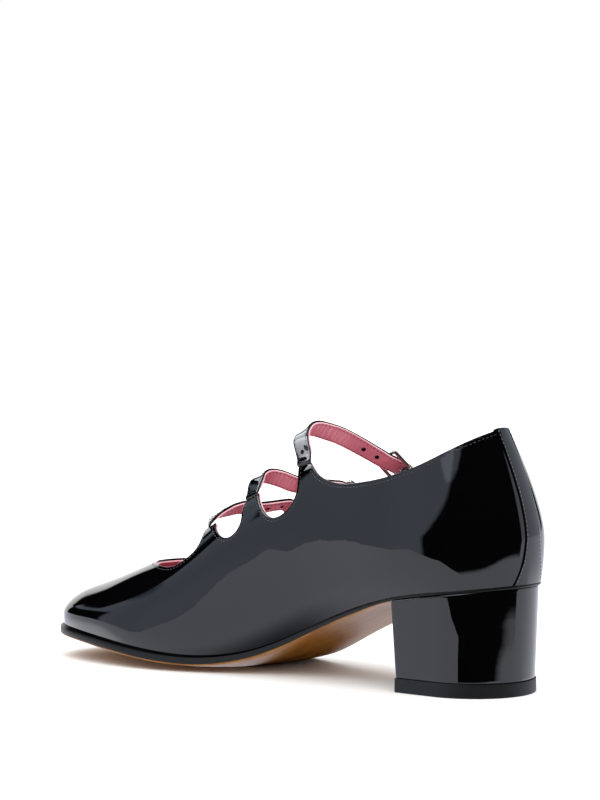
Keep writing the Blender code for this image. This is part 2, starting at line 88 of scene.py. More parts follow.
def facing(vector, other):
    """The vector, turned round where it points away from `other`."""
    return vector if np.dot(vector, other) > 0 else -vector


def direction(line):
    """Unit tangents of a line, from central differences."""
    return unit(np.gradient(line, axis=0))


def distance(line):
    """How far along a line each of its points lies."""
    return np.concatenate([[0], np.cumsum(np.linalg.norm(np.diff(line, axis=0), axis=1))])


def circle(count, start=0.0):
    """Angles of `count` points round a circle."""
    return start + np.arange(count) * 2 * np.pi / count


print("mid grey is", round(colour("#808080")[0], 3), "in linear light")

# %% [markdown]
# ## The last
#
# A shoe takes its shape from its last, so the last comes first. It could be
# sculpted, but a last is drawn as cross-sections at stations along the foot,
# and a smooth surface through such a table is exact and easy to change. Each
# column of the table is one measure, and a spline carries it from heel to toe.

# %% Sections of the last
LENGTH = 242.0  # heel to toe
# s: along the foot. axis: middle of the sole line. medial, lateral: heights of its
# two edges. half: half width there. bulge, bulge_h: widest half width and its
# height. shoulder, crown: shares of bulge and ridge higher up. ridge: height of
# the top line, ridge_y: its lean to the inner side. dish: sag of the bottom.
LAST_COLUMNS = (
    "s axis medial lateral half bulge bulge_h shoulder shoulder_h"
    " crown crown_h ridge ridge_y dish"
).split()
LAST_ROWS = np.array([
    [0, 0.0, 45.5, 45.5, 27.0, 28.6, 22, 0.72, 0.60, 0.34, 0.98, 88, 0, 0.0],
    [25, 0.0, 42.6, 43.6, 27.0, 30.4, 21, 0.80, 0.60, 0.44, 0.98, 92, 0, 0.0],
    [50, -0.5, 39.0, 38.4, 25.8, 31.0, 20, 0.87, 0.60, 0.54, 0.98, 93, 1, 0.2],
    [75, -2.5, 32.0, 29.0, 24.0, 30.5, 19, 0.88, 0.58, 0.54, 0.97, 91, 3, 0.6],
    [100, -5.0, 22.0, 18.2, 23.5, 31.5, 18, 0.86, 0.56, 0.50, 0.96, 88, 6, 1.0],
    [125, -5.0, 11.2, 7.0, 27.0, 34.0, 16, 0.85, 0.56, 0.46, 0.95, 79, 7, 1.6],
    [150, -3.0, 6.4, 3.8, 34.0, 38.0, 13, 0.84, 0.58, 0.42, 0.94, 66, 5, 2.2],
    [175, 0.6, 7.6, 5.2, 37.0, 39.5, 11, 0.85, 0.58, 0.42, 0.92, 47, 3, 2.8],
    [200, 3.0, 10.5, 7.7, 34.5, 36.5, 10, 0.88, 0.60, 0.48, 0.93, 32.9, 1, 2.6],
    [220, 4.5, 12.8, 10.3, 31.0, 32.6, 9, 0.90, 0.62, 0.50, 0.95, 24.5, 0, 2.0],
    [242, 5.5, 15.0, 15.0, 29.0, 29.0, 8, 0.92, 0.66, 0.55, 0.98, 20.0, 0, 1.0],
])
HEEL_ROUND, TOE_ROUND, TOE_TOP_ROUND = 26.0, 24.0, 26.0  # reach of the end rounds
BACK_LEAN, BACK_TUCK, BACK_WAIST, BACK_FADE = 0.050, 0.004, 18.0, 48.0
SEARCHED = 400  # heights tabulated up a section, to look one up


def spline(xs, ys, x):
    """Natural cubic spline: through every (xs, ys), with slope and bend running on
    smoothly from one piece to the next. `ys` may hold several columns."""
    xs, ys, x = (np.asarray(a, float) for a in (xs, ys, x))
    step = np.diff(xs)
    rise = np.diff(ys, axis=0) / (step if ys.ndim == 1 else step[:, None])
    matrix = np.eye(len(xs))
    inner = np.arange(1, len(xs) - 1)
    matrix[inner, inner - 1], matrix[inner, inner + 1] = step[:-1], step[1:]
    matrix[inner, inner] = 2 * (step[:-1] + step[1:])
    right = np.zeros_like(ys)
    right[1:-1] = 6 * np.diff(rise, axis=0)
    bend = np.linalg.solve(matrix, right)
    i = np.clip(np.searchsorted(xs, x) - 1, 0, len(xs) - 2)
    wide = (slice(None),) * x.ndim + (None,) * (ys.ndim - 1)
    a, b = ((xs[i + 1] - x) / step[i])[wide], ((x - xs[i]) / step[i])[wide]
    gap = step[i][wide]
    return (a * ys[i] + b * ys[i + 1]
            + ((a**3 - a) * bend[i] + (b**3 - b) * bend[i + 1]) * gap**2 / 6)


def last_column(name, s):
    """One measure of the last at station s."""
    return spline(LAST_ROWS[:, 0], LAST_ROWS[:, LAST_COLUMNS.index(name)], s)


print("the last is", round(2 * float(last_column("half", 175)), 1), "mm wide at the ball")

# %% [markdown]
# Eleven control points round each section make it smooth: a B-spline passes near
# its control points rather than through them, so the section can't ripple. The
# two ends of the foot close with a square root, which is what makes a nose round
# rather than pointed.

# %% The last's surface


def blend_weights(v, count=11, degree=3):
    """Weights of `count` control points of a clamped uniform B-spline, v from -1 to 1,
    by de Boor's rule: each degree blends two neighbours of the degree below."""
    t = np.clip((np.asarray(v, float) + 1) / 2, 0, 1 - 1e-12)
    knots = np.concatenate([
        np.zeros(degree), np.linspace(0, 1, count - degree + 1), np.ones(degree)])
    weights = [((a <= t) & (t < b)).astype(float) for a, b in zip(knots, knots[1:])]
    for d in range(1, degree + 1):
        raised = []
        for i in range(len(knots) - 1 - d):
            left, right = knots[i + d] - knots[i], knots[i + d + 1] - knots[i + 1]
            first = (t - knots[i]) / left * weights[i] if left else 0
            second = (knots[i + d + 1] - t) / right * weights[i + 1] if right else 0
            raised.append(first + second)
        weights = raised
    return np.stack(weights, -1)


def end_round(distance, reach):
    """sqrt(1 - exp(-2 d / reach)): 0 at an end of the foot, 1 beyond about `reach`."""
    return np.sqrt(np.maximum(1 - np.exp(-2 * distance / reach), 0))


def last(s, v):
    """Outer face of the upper. s is the station, and v is 1 at the inner sole line, 0
    on the ridge and -1 at the outer sole line. Each section is the B-spline of its
    control points, and the back leans with the height h as lean * h^1.5."""
    s, v = np.broadcast_arrays(np.asarray(s, float), np.asarray(v, float))
    shape, s, v = s.shape, s.ravel(), v.ravel()
    c = {name: last_column(name, s) for name in LAST_COLUMNS[1:]}
    ends = end_round(s, HEEL_ROUND) * end_round(LENGTH - s, TOE_ROUND)
    top = end_round(LENGTH - s, TOE_TOP_ROUND)
    half, bulge, ridge = c["half"] * ends, c["bulge"] * ends, c["ridge"] * top
    bulge_h, crown_h = c["bulge_h"] * top, c["crown_h"] * ridge
    out = [half, half + 0.8 * (bulge - half), 1.02 * bulge, c["shoulder"] * bulge,
           c["crown"] * bulge]
    up = [0 * s, 0.45 * bulge_h, 1.1 * bulge_h, c["shoulder_h"] * ridge, crown_h]
    lean = c["ridge_y"] * ends
    share = [0, 0, 0.1, 0.5, 0.9]
    ys = ([lean * k - y for y, k in zip(out, share)] + [lean]
          + [lean * k + y for y, k in zip(out[::-1], share[::-1])])
    zs = up + [(3 * ridge - crown_h) / 2] + up[::-1]
    weights = blend_weights(v)
    y = sum(weights[:, i] * ys[i] for i in range(11))
    h = sum(weights[:, i] * zs[i] for i in range(11))
    curve = (BACK_LEAN * np.maximum(h - BACK_WAIST, 0)**1.5
             + BACK_TUCK * np.maximum(BACK_WAIST - h, 0)**2)
    x = s + curve * np.exp(-(s / BACK_FADE)**2)
    level = (c["medial"] + c["lateral"]) / 2
    tilt = (c["medial"] - c["lateral"]) / 2 * y / c["half"] * np.exp(-h / 12)
    return np.stack([x, c["axis"] + y, level + tilt + h], -1).reshape(shape + (3,))


CROWD = 0.08  # how far the stations crowd together at the ends


def station(u):
    """s = LENGTH h(u) / (h(u) + h(1 - u)), h(u) = sqrt(u^2 + c^2) - c. u runs evenly
    from 0 at the heel to 1 at the toe, and s grows as u^2 near either end."""
    near, far = (np.sqrt(a * a + CROWD**2) - CROWD for a in (u, 1 - u))
    return LENGTH * near / (near + far)


def skin(u, v, off=0.0):
    """Point of the upper's outer face at (u, v), moved out by `off` along the normal,
    which is the cross product of the two small steps along u and v."""
    u, v, off = np.broadcast_arrays(*(np.asarray(a, float) for a in (u, v, off)))
    small = 1e-4
    inner = np.minimum(u, 1 - 2 * small)
    along = last(station(inner + small), v) - last(station(np.maximum(inner - small, 0)), v)
    across = (last(station(inner), np.minimum(v + small, 1))
              - last(station(inner), np.maximum(v - small, -1)))
    normal = np.cross(along, across)
    normal[..., 1] *= u > 0
    return last(station(u), v) + unit(normal) * off[..., None]


print("heel, ball and toe heights, mm:", last(np.array([0, 175, 242]), 0)[:, 2].round(1))

# %% [markdown]
# ## From arrays to objects
#
# Each piece is a set of points and faces worked out as arrays. One function puts
# them in a mesh, merges points that coincide, so seams and poles are closed, and
# turns the faces outwards. The others say how grids, slabs and tubes are faced.

# %% Mesh helpers
WELD = 0.002  # mm within which points are merged


def grid_faces(rows, columns, around=False, closed=False):
    """Quads of a grid numbered row by row. With around, the last column meets the
    first, and with closed, the last row does."""
    r, c = np.meshgrid(np.arange(rows - (not closed)), np.arange(columns - (not around)),
                       indexing="ij")
    below, beside = (r + 1) % rows, (c + 1) % columns
    quads = [r * columns + c, r * columns + beside, below * columns + beside,
             below * columns + c]
    return np.stack(quads, -1).reshape(-1, 4)


def linked(name, data):
    """A new object in the scene."""
    made = bpy.data.objects.new(name, data)
    bpy.context.scene.collection.objects.link(made)
    return made


def make_mesh(name, points, faces, materials, crease=40.0, marks=None, crease_highlight=None):
    """An object from points in millimetres and a list of face arrays. `marks` gives
    a material number for each face array, and the last argument gives each point a
    painted highlight from 0 to 1, kept as a point attribute."""
    mesh = bpy.data.meshes.new(name)
    flat = [face for block in faces for face in np.asarray(block).tolist()]
    mesh.from_pydata(metres(points).tolist(), [], flat)
    for material in materials:
        mesh.materials.append(material)
    if marks is not None:
        numbers = np.concatenate([np.full(len(b), m) for b, m in zip(faces, marks)])
        mesh.polygons.foreach_set("material_index", numbers.astype(np.int32))
    if crease_highlight is not None:
        highlight_attribute = mesh.attributes.new("crease_highlight", "FLOAT", "POINT")
        highlight_attribute.data.foreach_set("value", np.ravel(crease_highlight))
    work = bmesh.new()
    work.from_mesh(mesh)
    bmesh.ops.remove_doubles(work, verts=work.verts, dist=WELD * MM)
    bmesh.ops.dissolve_degenerate(work, edges=work.edges, dist=1e-7)
    loose = [vertex for vertex in work.verts if not vertex.link_faces]
    bmesh.ops.delete(work, geom=loose, context="VERTS")
    bmesh.ops.recalc_face_normals(work, faces=work.faces)
    work.to_mesh(mesh)
    work.free()
    mesh.shade_smooth()
    mesh.set_sharp_from_angle(angle=math.radians(crease))
    return linked(name, mesh)


def place(made, slot, *nodes):
    """Ties a finished piece to the frame: its body, and the solids it stands for,
    which it hides. `slot` is not used."""
    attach(made, "root")
    if nodes:
        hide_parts(*nodes)
    print(f"{made.name}: {len(made.data.polygons)} faces")


def slab(outer, inner):
    """Points and faces of a closed sheet between two grids of the same size."""
    rows, columns = outer.shape[:2]
    under, face = rows * columns, grid_faces(rows, columns)
    ids = np.arange(under).reshape(rows, columns)
    rim = np.concatenate([ids[0, :], ids[1:, -1], ids[-1, -2::-1], ids[-2:0:-1, 0]])
    ahead = np.roll(rim, -1)
    wall = np.stack([rim, ahead, ahead + under, rim + under], -1)
    points = np.concatenate([outer.reshape(-1, 3), inner.reshape(-1, 3)])
    return points, [face, face + under, wall]


def carried(rings, closed=False):
    """Points and faces of a tube through rings of points, capped unless closed."""
    rows, columns = rings.shape[:2]
    cap = np.arange(columns)[None]
    caps = [] if closed else [cap, (rows - 1) * columns + cap]
    return rings.reshape(-1, 3), [grid_faces(rows, columns, True, closed), *caps]


def together(parts):
    """Several (points, face arrays) as one."""
    starts = np.cumsum([0] + [len(points) for points, _ in parts])
    faces = [block + start for (_, blocks), start in zip(parts, starts) for block in blocks]
    return np.concatenate([points for points, _ in parts]), faces


def left_of(loop):
    """Unit normals of a closed plan curve, on the left of its way round."""
    along = np.roll(loop, -1, 0) - np.roll(loop, 1, 0)
    return unit(np.stack([-along[:, 1], along[:, 0]], -1))


print("helpers ready")

# %% [markdown]
# ## Finishes
#
# The shoe has few materials, and each one is a real process. Patent leather is
# split leather under a clear flowed lacquer, so it is black below with a sharp
# reflection on top. The lining is dyed kid, the sole is waxed bend leather with
# inked edges, the lift is rubber, and the buckles are cast and plated in dark
# nickel. One helper adds a node, so each recipe below reads as a short list, and
# the plainest finishes share one recipe: a colour and a fine grain.

# %% Helpers for finishes


def add(tree, kind, links=None, **values):
    """Adds a node. `links` is input name to output socket, and each value goes to the
    input of that name, with _ for a space, or else to the node's own setting."""
    node = tree.nodes.new(kind)
    for name, value in values.items():
        socket = node.inputs.get(name.replace("_", " "))
        if socket is None:
            setattr(node, name, value)
        else:
            socket.default_value = value
    for name, output in (links or {}).items():
        tree.links.new(output, node.inputs[name])
    return node


def finish(name, **values):
    """A material with its shader's fixed numbers, and its node tree."""
    made = bpy.data.materials.new(name)
    made.use_nodes = True
    shader = made.node_tree.nodes["Principled BSDF"]
    for key, value in values.items():
        shader.inputs[key.replace("_", " ")].default_value = value
    place_at = made.node_tree.nodes.new("ShaderNodeTexCoord").outputs["Object"]
    return made, made.node_tree, shader, place_at


def per_mm(size):
    """Noise scale for a pattern of that many millimetres on Object coordinates."""
    return 1000.0 / size


def grained(name, text, grain, depth, strength=0.6, detail=2.0, **values):
    """A finish of one colour, with noise of `grain` mm for a bump of `depth` mm."""
    made, tree, shader, here = finish(name, Base_Color=colour(text), **values)
    noise = add(tree, "ShaderNodeTexNoise", {"Vector": here},
                Scale=per_mm(grain), Detail=detail)
    bump = add(tree, "ShaderNodeBump", {"Height": noise.outputs[0]},
               Strength=strength, Distance=depth * MM)
    tree.links.new(bump.outputs[0], shader.inputs["Normal"])
    return made


# %% [markdown]
# Patent leather first. The lacquer flows before it sets, so its reflections bend
# slowly over a few centimetres, with a faint ripple of a few millimetres left by
# the leather under it. Both are bumps too shallow to be worth meshing.

# %% Patent leather


def patent_leather(name, wave=0.30, ripple=0.012):
    """Black lacquered leather: IOR 1.5, so a clear 4% mirror face on."""
    made, tree, shader, here = finish(
        name, Base_Color=colour("#030304"), Roughness=0.5, Specular_IOR_Level=0.0,
        Coat_Weight=1.0, Coat_Roughness=0.018, Coat_IOR=1.5)
    slow = add(tree, "ShaderNodeTexNoise", {"Vector": here}, Scale=per_mm(30), Detail=1.0)
    fine = add(tree, "ShaderNodeTexNoise", {"Vector": here}, Scale=per_mm(5), Detail=2.0)
    sway = add(tree, "ShaderNodeBump", {"Height": slow.outputs[0]},
               Strength=1.0, Distance=wave * MM)
    bump = add(tree, "ShaderNodeBump",
               {"Height": fine.outputs[0], "Normal": sway.outputs[0]},
               Strength=1.0, Distance=ripple * MM)
    tree.links.new(bump.outputs[0], shader.inputs["Normal"])
    tree.links.new(bump.outputs[0], shader.inputs["Coat Normal"])
    return made


patent = patent_leather("patent_leather")
patent_straps = patent_leather("patent_leather_straps", wave=0.05, ripple=0.008)
print("patent leather:", patent.name, patent_straps.name)

# %% [markdown]
# The lining is soft dyed kid: a matt face with a grain of about half a
# millimetre, and colour that sits unevenly in it. Where it was cut, the paler
# undyed middle of the skin shows as a thin light line.

# %% Kid lining


def dyed_kid(name, low, high, grain=0.8, depth=0.05, highlight_colour="#f0b4bd"):
    """Matt leather with a colour that drifts between two shades and a fine grain. Where
    a mesh carries the highlight attribute, the colour is painted paler, towards a
    lighter pink: a painted highlight along its creases."""
    made, tree, shader, here = finish(name, Roughness=0.58, Specular_IOR_Level=0.35)
    drift = add(tree, "ShaderNodeTexNoise", {"Vector": here}, Scale=per_mm(9), Detail=4.0)
    shade = add(tree, "ShaderNodeValToRGB", {"Fac": drift.outputs[0]})
    for stop, (at, text) in zip(shade.color_ramp.elements, ((0.3, low), (0.7, high))):
        stop.position, stop.color = at, colour(text)
    cells = add(tree, "ShaderNodeTexVoronoi", {"Vector": here}, Scale=per_mm(grain))
    bump = add(tree, "ShaderNodeBump", {"Height": cells.outputs["Distance"]},
               Strength=0.6, Distance=depth * MM)
    highlight_attribute = add(tree, "ShaderNodeAttribute", attribute_name="crease_highlight")
    dye_and_highlight = add(tree, "ShaderNodeMix", {0: highlight_attribute.outputs["Fac"], 6: shade.outputs[0]},
              data_type="RGBA")
    dye_and_highlight.inputs[7].default_value = colour(highlight_colour)
    tree.links.new(dye_and_highlight.outputs[2], shader.inputs["Base Color"])
    tree.links.new(bump.outputs[0], shader.inputs["Normal"])
    return made


lining = dyed_kid("dyed_kid_lining", "#c07082", "#da8e9c")
raw_edge = dyed_kid("cut_edge_of_kid", "#dfa0aa", "#f0cdd1", grain=0.5)
print("lining:", lining.name, raw_edge.name)

# %% [markdown]
# ## The upper's edge
#
# The collar, the tabs for the straps, the cut-outs between them and the throat
# are one continuous cut. A cutter draws it flat, as two side views, so it is
# kept here as two lists of points, with the sharp corners of the tabs marked.

# %% Outline of the opening
MEDIAL_EDGE = [  # x, z
    (-20, 107.8), (14.0, 107.5), (18.4, 104.8), (27.7, 99.3), (39.4, 92.8),
    (53.9, 87.6), (66, 85.1), (78, 83.8), (86.0, 84.4), (93.2, 86.8), (98.0, 90.4),
    (101.6, 93.2), (105.6, 93.0), (105.6, 88.4), (104.1, 80.5), (106.7, 73.2),
    (111.2, 69.2), (116.0, 67.7), (121.0, 69.2), (126.0, 73.2), (130.0, 77.4),
    (135.8, 76.4), (136.5, 71.0), (134.7, 65.4), (136.6, 60.2), (141.0, 57.9),
    (147.6, 59.6), (153.9, 63.2), (160.6, 59.8),
    (157.6, 56.0), (158.2, 51.8), (162.6, 47.4), (168.6, 44.2), (176.5, 43.6),
    (184.0, 44.0), (191.0, 44.2), (199.0, 43.8),
]
MEDIAL_CORNERS = (1, 11, 12, 20, 21, 27, 28, 34)
LATERAL_EDGE = [
    (-20, 107.8), (14.0, 107.5), (18.4, 104.8), (27, 98.6), (37, 91.4), (48, 85.4),
    (60, 81.0), (68, 78.8), (74.6, 79.4), (77.8, 81.8), (78.7, 85.0),
    (88.1, 83.0), (86.8, 75.4), (87.2, 68.0), (91.0, 63.6), (95.5, 62.0),
    (100.5, 63.6), (103.4, 67.0), (103.8, 72.4), (113.2, 69.4), (112.4, 64.0),
    (113.8, 58.4), (118.5, 54.6), (123.5, 53.6), (128.5, 55.6), (130.8, 59.4),
    (131.2, 64.0), (141.0, 60.5), (141.2, 54.4), (144.0, 49.4), (149.5, 46.0),
    (158.0, 44.0), (170.0, 43.4), (176.5, 43.6), (184.0, 44.0), (191.0, 44.2),
    (199.0, 43.8),
]
LATERAL_CORNERS = (1, 10, 11, 18, 19, 26, 27, 34)
ABOVE = 190.0  # well over the shoe
OUTLINE_STEP = 1.1


def smooth_path(points, step, corners=()):
    """Centripetal spline: a spline through the points whose parameter grows as the
    square root of each chord, sampled about every `step`, sharp at `corners`."""
    points = np.asarray(points, float)
    ends = sorted({0, len(points) - 1, *corners})
    pieces = []
    for first, final in zip(ends, ends[1:]):
        part = points[first:final + 1]
        chord = np.linalg.norm(np.diff(part[:, :3], axis=0), axis=1)
        at = np.concatenate([[0], np.cumsum(np.sqrt(chord))])
        t = np.linspace(0, at[-1], max(2, int(round(chord.sum() / step)) + 1))
        if len(part) == 2:
            run = part[0] + (part[1] - part[0]) * (t / at[-1])[:, None]
        else:
            run = spline(at, part, t)
        pieces.append(run if final == ends[-1] else run[:-1])
    return np.concatenate(pieces)


def outline(edge, corners):
    """The edge as a closed ring that takes in everything above it."""
    line = smooth_path(edge, OUTLINE_STEP, corners)
    return np.concatenate([line, [(line[-1, 0], ABOVE), (line[0, 0], ABOVE)], line[:1]])


OUTLINES = {1: outline(MEDIAL_EDGE, MEDIAL_CORNERS),
            -1: outline(LATERAL_EDGE, LATERAL_CORNERS)}


def beyond(points, ring):
    """Signed distance in side view from a ring: the distance to its nearest segment,
    positive inside it, where a ray meets the ring an odd number of times."""
    p, a, b = points[:, None][..., [0, 2]], ring[None, :-1], ring[None, 1:]
    share = np.clip(((p - a) * (b - a)).sum(-1) / ((b - a)**2).sum(-1), 0, 1)
    gap = np.linalg.norm(p - a - share[..., None] * (b - a), axis=-1).min(1)
    up = (a[..., 1] > p[..., 1]) != (b[..., 1] > p[..., 1])
    rise = np.where(b[..., 1] == a[..., 1], 1, b[..., 1] - a[..., 1])
    meets = p[..., 0] < a[..., 0] + (b[..., 0] - a[..., 0]) * (p[..., 1] - a[..., 1]) / rise
    return np.where((up & meets).sum(1) % 2 == 1, gap, -gap)


def open_by(points, v):
    """How far each point lies inside the opening of its own side of the foot."""
    found = np.empty(len(points))
    for side, ring in OUTLINES.items():
        mine = (v > 0) == (side > 0)
        found[mine] = beyond(points[mine], ring)
    return found


print("outline points:", [len(ring) for ring in OUTLINES.values()])

# %% [markdown]
# ## Cutting the skin
#
# A Boolean could cut the opening, but it leaves ragged slivers along a curve.
# Instead each triangle of the skin is cut where the signed distance is zero, as
# contours are drawn on a map. Points that are already close to the line are
# first slid onto it, so no thin triangles are left to spoil the gloss.

# %% The trimmed skin
ROWS, COLUMNS = 281, 189
SLIDE, SLIDE_MOST = 0.36, 0.48  # grid steps that a point may slide: by guess, in the end
MISS = 0.06  # mm by which a point that slid may still miss the line


def to_line(uv, value, slope):
    """One Newton step of each point towards the line where the value is zero."""
    return uv - value[:, None] * slope / np.maximum((slope**2).sum(1), 1e-9)[:, None]


def trimmed_skin():
    """(u, v) of the points that are left, their triangles, and whether each point
    lies on the cut."""
    i, j = (a.ravel().astype(float) for a in np.meshgrid(
        np.arange(ROWS), np.arange(COLUMNS), indexing="ij"))
    grid = np.stack([i, j], 1)

    def params(grid):
        return grid[:, 0] / (ROWS - 1), 1 - 2 * grid[:, 1] / (COLUMNS - 1)

    def opening(grid):
        u, v = params(grid)
        return open_by(last(station(u), v), v)

    value = opening(grid)
    slope = np.stack(np.gradient(value.reshape(ROWS, COLUMNS)), -1).reshape(-1, 2)
    slope[i == 0, 0] = 0
    moved = to_line(grid, value, slope)
    near = np.flatnonzero(np.linalg.norm(moved - grid, axis=1) < SLIDE)
    for _ in range(2):
        moved[near] = to_line(moved[near], opening(moved[near]), slope[near])
    good = near[np.abs(opening(moved[near])) < MISS]
    good = good[np.linalg.norm(moved[good] - grid[good], axis=1) < SLIDE_MOST]
    grid[good], value[good] = moved[good], 0.0

    quads = grid_faces(ROWS, COLUMNS)[:, ::-1]
    even = (quads.min(1) // COLUMNS + quads.min(1) % COLUMNS) % 2 == 0
    triangles = np.concatenate([
        quads[even][:, [0, 1, 2]], quads[even][:, [0, 2, 3]],
        quads[~even][:, [0, 1, 3]], quads[~even][:, [1, 2, 3]]])
    out = value > 0
    many = out[triangles].sum(1)

    def turned(found, first):
        order = (first.argmax(1)[:, None] + np.arange(3)) % 3
        return np.take_along_axis(found, order, 1)

    one, two = triangles[many == 1], triangles[many == 2]
    one, two = turned(one, out[one]), turned(two, ~out[two])
    pairs = np.concatenate([one[:, [1, 0]], one[:, [2, 0]], two[:, [0, 1]], two[:, [0, 2]]])
    edges, which = np.unique(pairs, axis=0, return_inverse=True)
    kept, lost = edges.T
    share = value[kept] / (value[kept] - value[lost])
    fresh = grid[kept] + share[:, None] * (grid[lost] - grid[kept])
    names = np.where(value[kept] == 0, kept, len(grid) + np.arange(len(edges)))
    a, b, c, d = np.split(names[which.ravel()], np.cumsum([len(one), len(one), len(two)]))
    triangles = np.concatenate([
        triangles[many == 0], np.stack([a, one[:, 1], one[:, 2]], 1),
        np.stack([a, one[:, 2], b], 1), np.stack([two[:, 0], c, d], 1)])
    triangles = triangles[(triangles != np.roll(triangles, 1, 1)).all(1)]
    on_cut = np.concatenate([value == 0, np.ones(len(fresh), bool)])
    grid = np.concatenate([grid, fresh])
    doubtful = on_cut[triangles].all(1)
    doubtful[doubtful] = opening(grid[triangles[doubtful]].mean(1)) > 0
    return np.stack(params(grid), 1), triangles[~doubtful], on_cut


UV, TRIANGLES, ON_CUT = trimmed_skin()
print("skin:", len(TRIANGLES), "triangles,", int(ON_CUT.sum()), "points on the cut")

# %% [markdown]
# The points on the cut have to be walked in order, for the rolled edge, and for
# the stitches that run beside it. Each boundary edge says which point follows
# which. Doubling the stride again and again then tells every point at once how
# many steps it is from the end of the line.

# %% The cut edge in order
DOUBLINGS = 13  # 2^13 steps pass the end of the line


def in_order(triangles, on_cut):
    """Numbers of the points along the cut, from one side of the heel seam round the
    throat to the other. After k doublings each point looks 2^k steps ahead."""
    edges = np.concatenate([triangles[:, pair] for pair in ([0, 1], [1, 2], [2, 0])])
    size = len(on_cut)
    code, back = edges[:, 0] * size + edges[:, 1], edges[:, 1] * size + edges[:, 0]
    edges = edges[~np.isin(code, back)]
    edges = edges[on_cut[edges].all(1)]
    ahead, steps = np.arange(size), np.zeros(size, int)
    ahead[edges[:, 0]], steps[edges[:, 0]] = edges[:, 1], 1
    for _ in range(DOUBLINGS):
        steps, ahead = steps + steps[ahead], ahead[ahead]
    line = np.unique(edges)
    return line[np.argsort(-steps[line])], len(edges)


CUT, cut_edges = in_order(TRIANGLES, ON_CUT)
CUT_UV = UV[CUT]
print(f"cut edge: {len(CUT)} points, {cut_edges} edges, ends at u =",
      np.round(CUT_UV[[0, -1], 0], 4))


def cut_frame(off=0.0):
    """Along the cut: the points, the skin's normal, the line's direction, and the
    direction across it towards the opening, the cross product of the other two."""
    points = skin(CUT_UV[:, 0], CUT_UV[:, 1], off)
    normal = unit(skin(CUT_UV[:, 0], CUT_UV[:, 1], off + 1.0) - points)
    ring = points[:-1]
    along = np.roll(ring, -1, 0) - np.roll(ring, 1, 0)
    for _ in range(3):
        along = along + 0.5 * (np.roll(along, 1, 0) + np.roll(along, -1, 0))
    along = unit(np.concatenate([along, along[:1]]))
    toward = unit(np.cross(along, normal))
    middle = len(points) // 4
    probe = points[middle:middle + 1] + 0.3 * toward[middle]
    sign = np.sign(open_by(probe, CUT_UV[middle:middle + 1, 1])[0]) or 1.0
    return points, normal, along, toward * sign


print("cut length, mm:", round(float(distance(cut_frame()[0])[-1])))

# %% [markdown]
# ## Upper and lining
#
# The upper is two layers: 1 mm of patent leather and 0.8 mm of kid inside it.
# Each one is the same trimmed skin, taken at two depths and closed by an edge
# that rolls over as cut and burnished leather does. A Solidify modifier would
# give a square edge and push its points off the cut.

# %% Layers of the upper
PATENT_THICK, LINING_THICK = 1.0, 0.8
ROLL = np.radians([-60, -30, 0, 30, 60])  # rows round the rolled edge


def layer(name, depth, thick, round_over, materials):
    """The trimmed skin between `depth` and `depth + thick` inside the last's face.
    The edge is half an ellipse: thick / 2 sin(a) through it, round_over cos(a) out."""
    outer, inner = (skin(UV[:, 0], UV[:, 1], -d) for d in (depth, depth + thick))
    points, normal, _, toward = cut_frame(-(depth + thick / 2))
    rows = [points + normal * (-thick / 2 * math.sin(a)) + toward * (round_over * math.cos(a))
            for a in ROLL]
    count, size = len(UV), len(CUT)
    rim = np.vstack([CUT] + [2 * count + k * size + np.arange(size) for k in range(len(ROLL))]
                    + [CUT + count])
    strips = np.stack([rim[:-1, :-1], rim[:-1, 1:], rim[1:, 1:], rim[1:, :-1]], -1)
    row = np.arange(ROWS) * COLUMNS
    soles = [np.stack([a[:-1], a[1:], a[1:] + count, a[:-1] + count], -1)
             for a in (row, row + COLUMNS - 1)]
    faces = [TRIANGLES, TRIANGLES[:, ::-1] + count, strips.reshape(-1, 4), *soles]
    return make_mesh(name, np.concatenate([outer, inner, *rows]), faces, materials,
                     crease=50, marks=[0, 0, 1, 0, 0])


place(layer("patent_upper", 0.0, PATENT_THICK, 0.28, [patent, patent]),
      "patent_leather", "upper")
place(layer("kid_lining", PATENT_THICK, LINING_THICK, 0.22, [lining, raw_edge]),
      "lining_leather")

# %% [markdown]
# ## Thread
#
# Every edge of the upper is sewn. A stitch is a short run of thread that lies in
# a dent between two holes, so each one is a small flattened bead. A texture could
# draw them, but it would not catch the light one by one. The thread has a soft
# sheen from its twist, which is too fine to mesh.

# %% Stitches
# the back strip's thread is black thread painted mid grey: a painted glint
black_thread, strip_thread_painted_glint, maroon_thread, rose_thread = (
    grained(name, text, 0.4, 0.04, 0.7, Roughness=0.42, Sheen_Weight=0.2)
    for name, text in (
        ("bonded_thread_black", "#161718"), ("black_thread_painted_glint", "#56585d"),
        ("bonded_thread_maroon", "#5a2730"), ("bonded_thread_rose", "#e2a3ad")))


def spaced(line, pitch, *others):
    """The line, and other arrays along it, read at every `pitch` of its length."""
    run = distance(line)
    at = np.arange(pitch / 2, run[-1], pitch)
    return [np.stack([np.interp(at, run, a[:, k]) for k in range(a.shape[1])], 1)
            for a in (line, *others)]


def bead(rings=5, sides=6):
    """Unit ellipsoid: (cos a, sin a cos t, sin a sin t)."""
    a, t = np.linspace(0, np.pi, rings)[:, None], circle(sides)
    return np.stack(np.broadcast_arrays(
        np.cos(a), np.sin(a) * np.cos(t), np.sin(a) * np.sin(t)), -1)


def sew(name, runs, thread, length=1.25, width=0.34, height=0.16):
    """One bead for each stitch of each run, a (centre, along, normal) triple, with
    half its height above the leather."""
    shape, parts = bead(), []
    quads = grid_faces(*shape.shape[:2], around=True)
    for centre, along, normal in runs:
        along = unit(along)
        side = unit(np.cross(normal, along))
        frames = np.stack([along * length / 2, side * width / 2, unit(normal) * height], 1)
        points = centre[:, None] + shape.reshape(-1, 3) @ frames
        starts = np.arange(len(centre))[:, None, None] * points.shape[1]
        parts.append((points.reshape(-1, 3), [(quads + starts).reshape(-1, 4)]))
    return make_mesh(name, *together(parts), [thread], crease=80)


EDGE_INSET, STITCH_PITCH = 1.5, 1.9


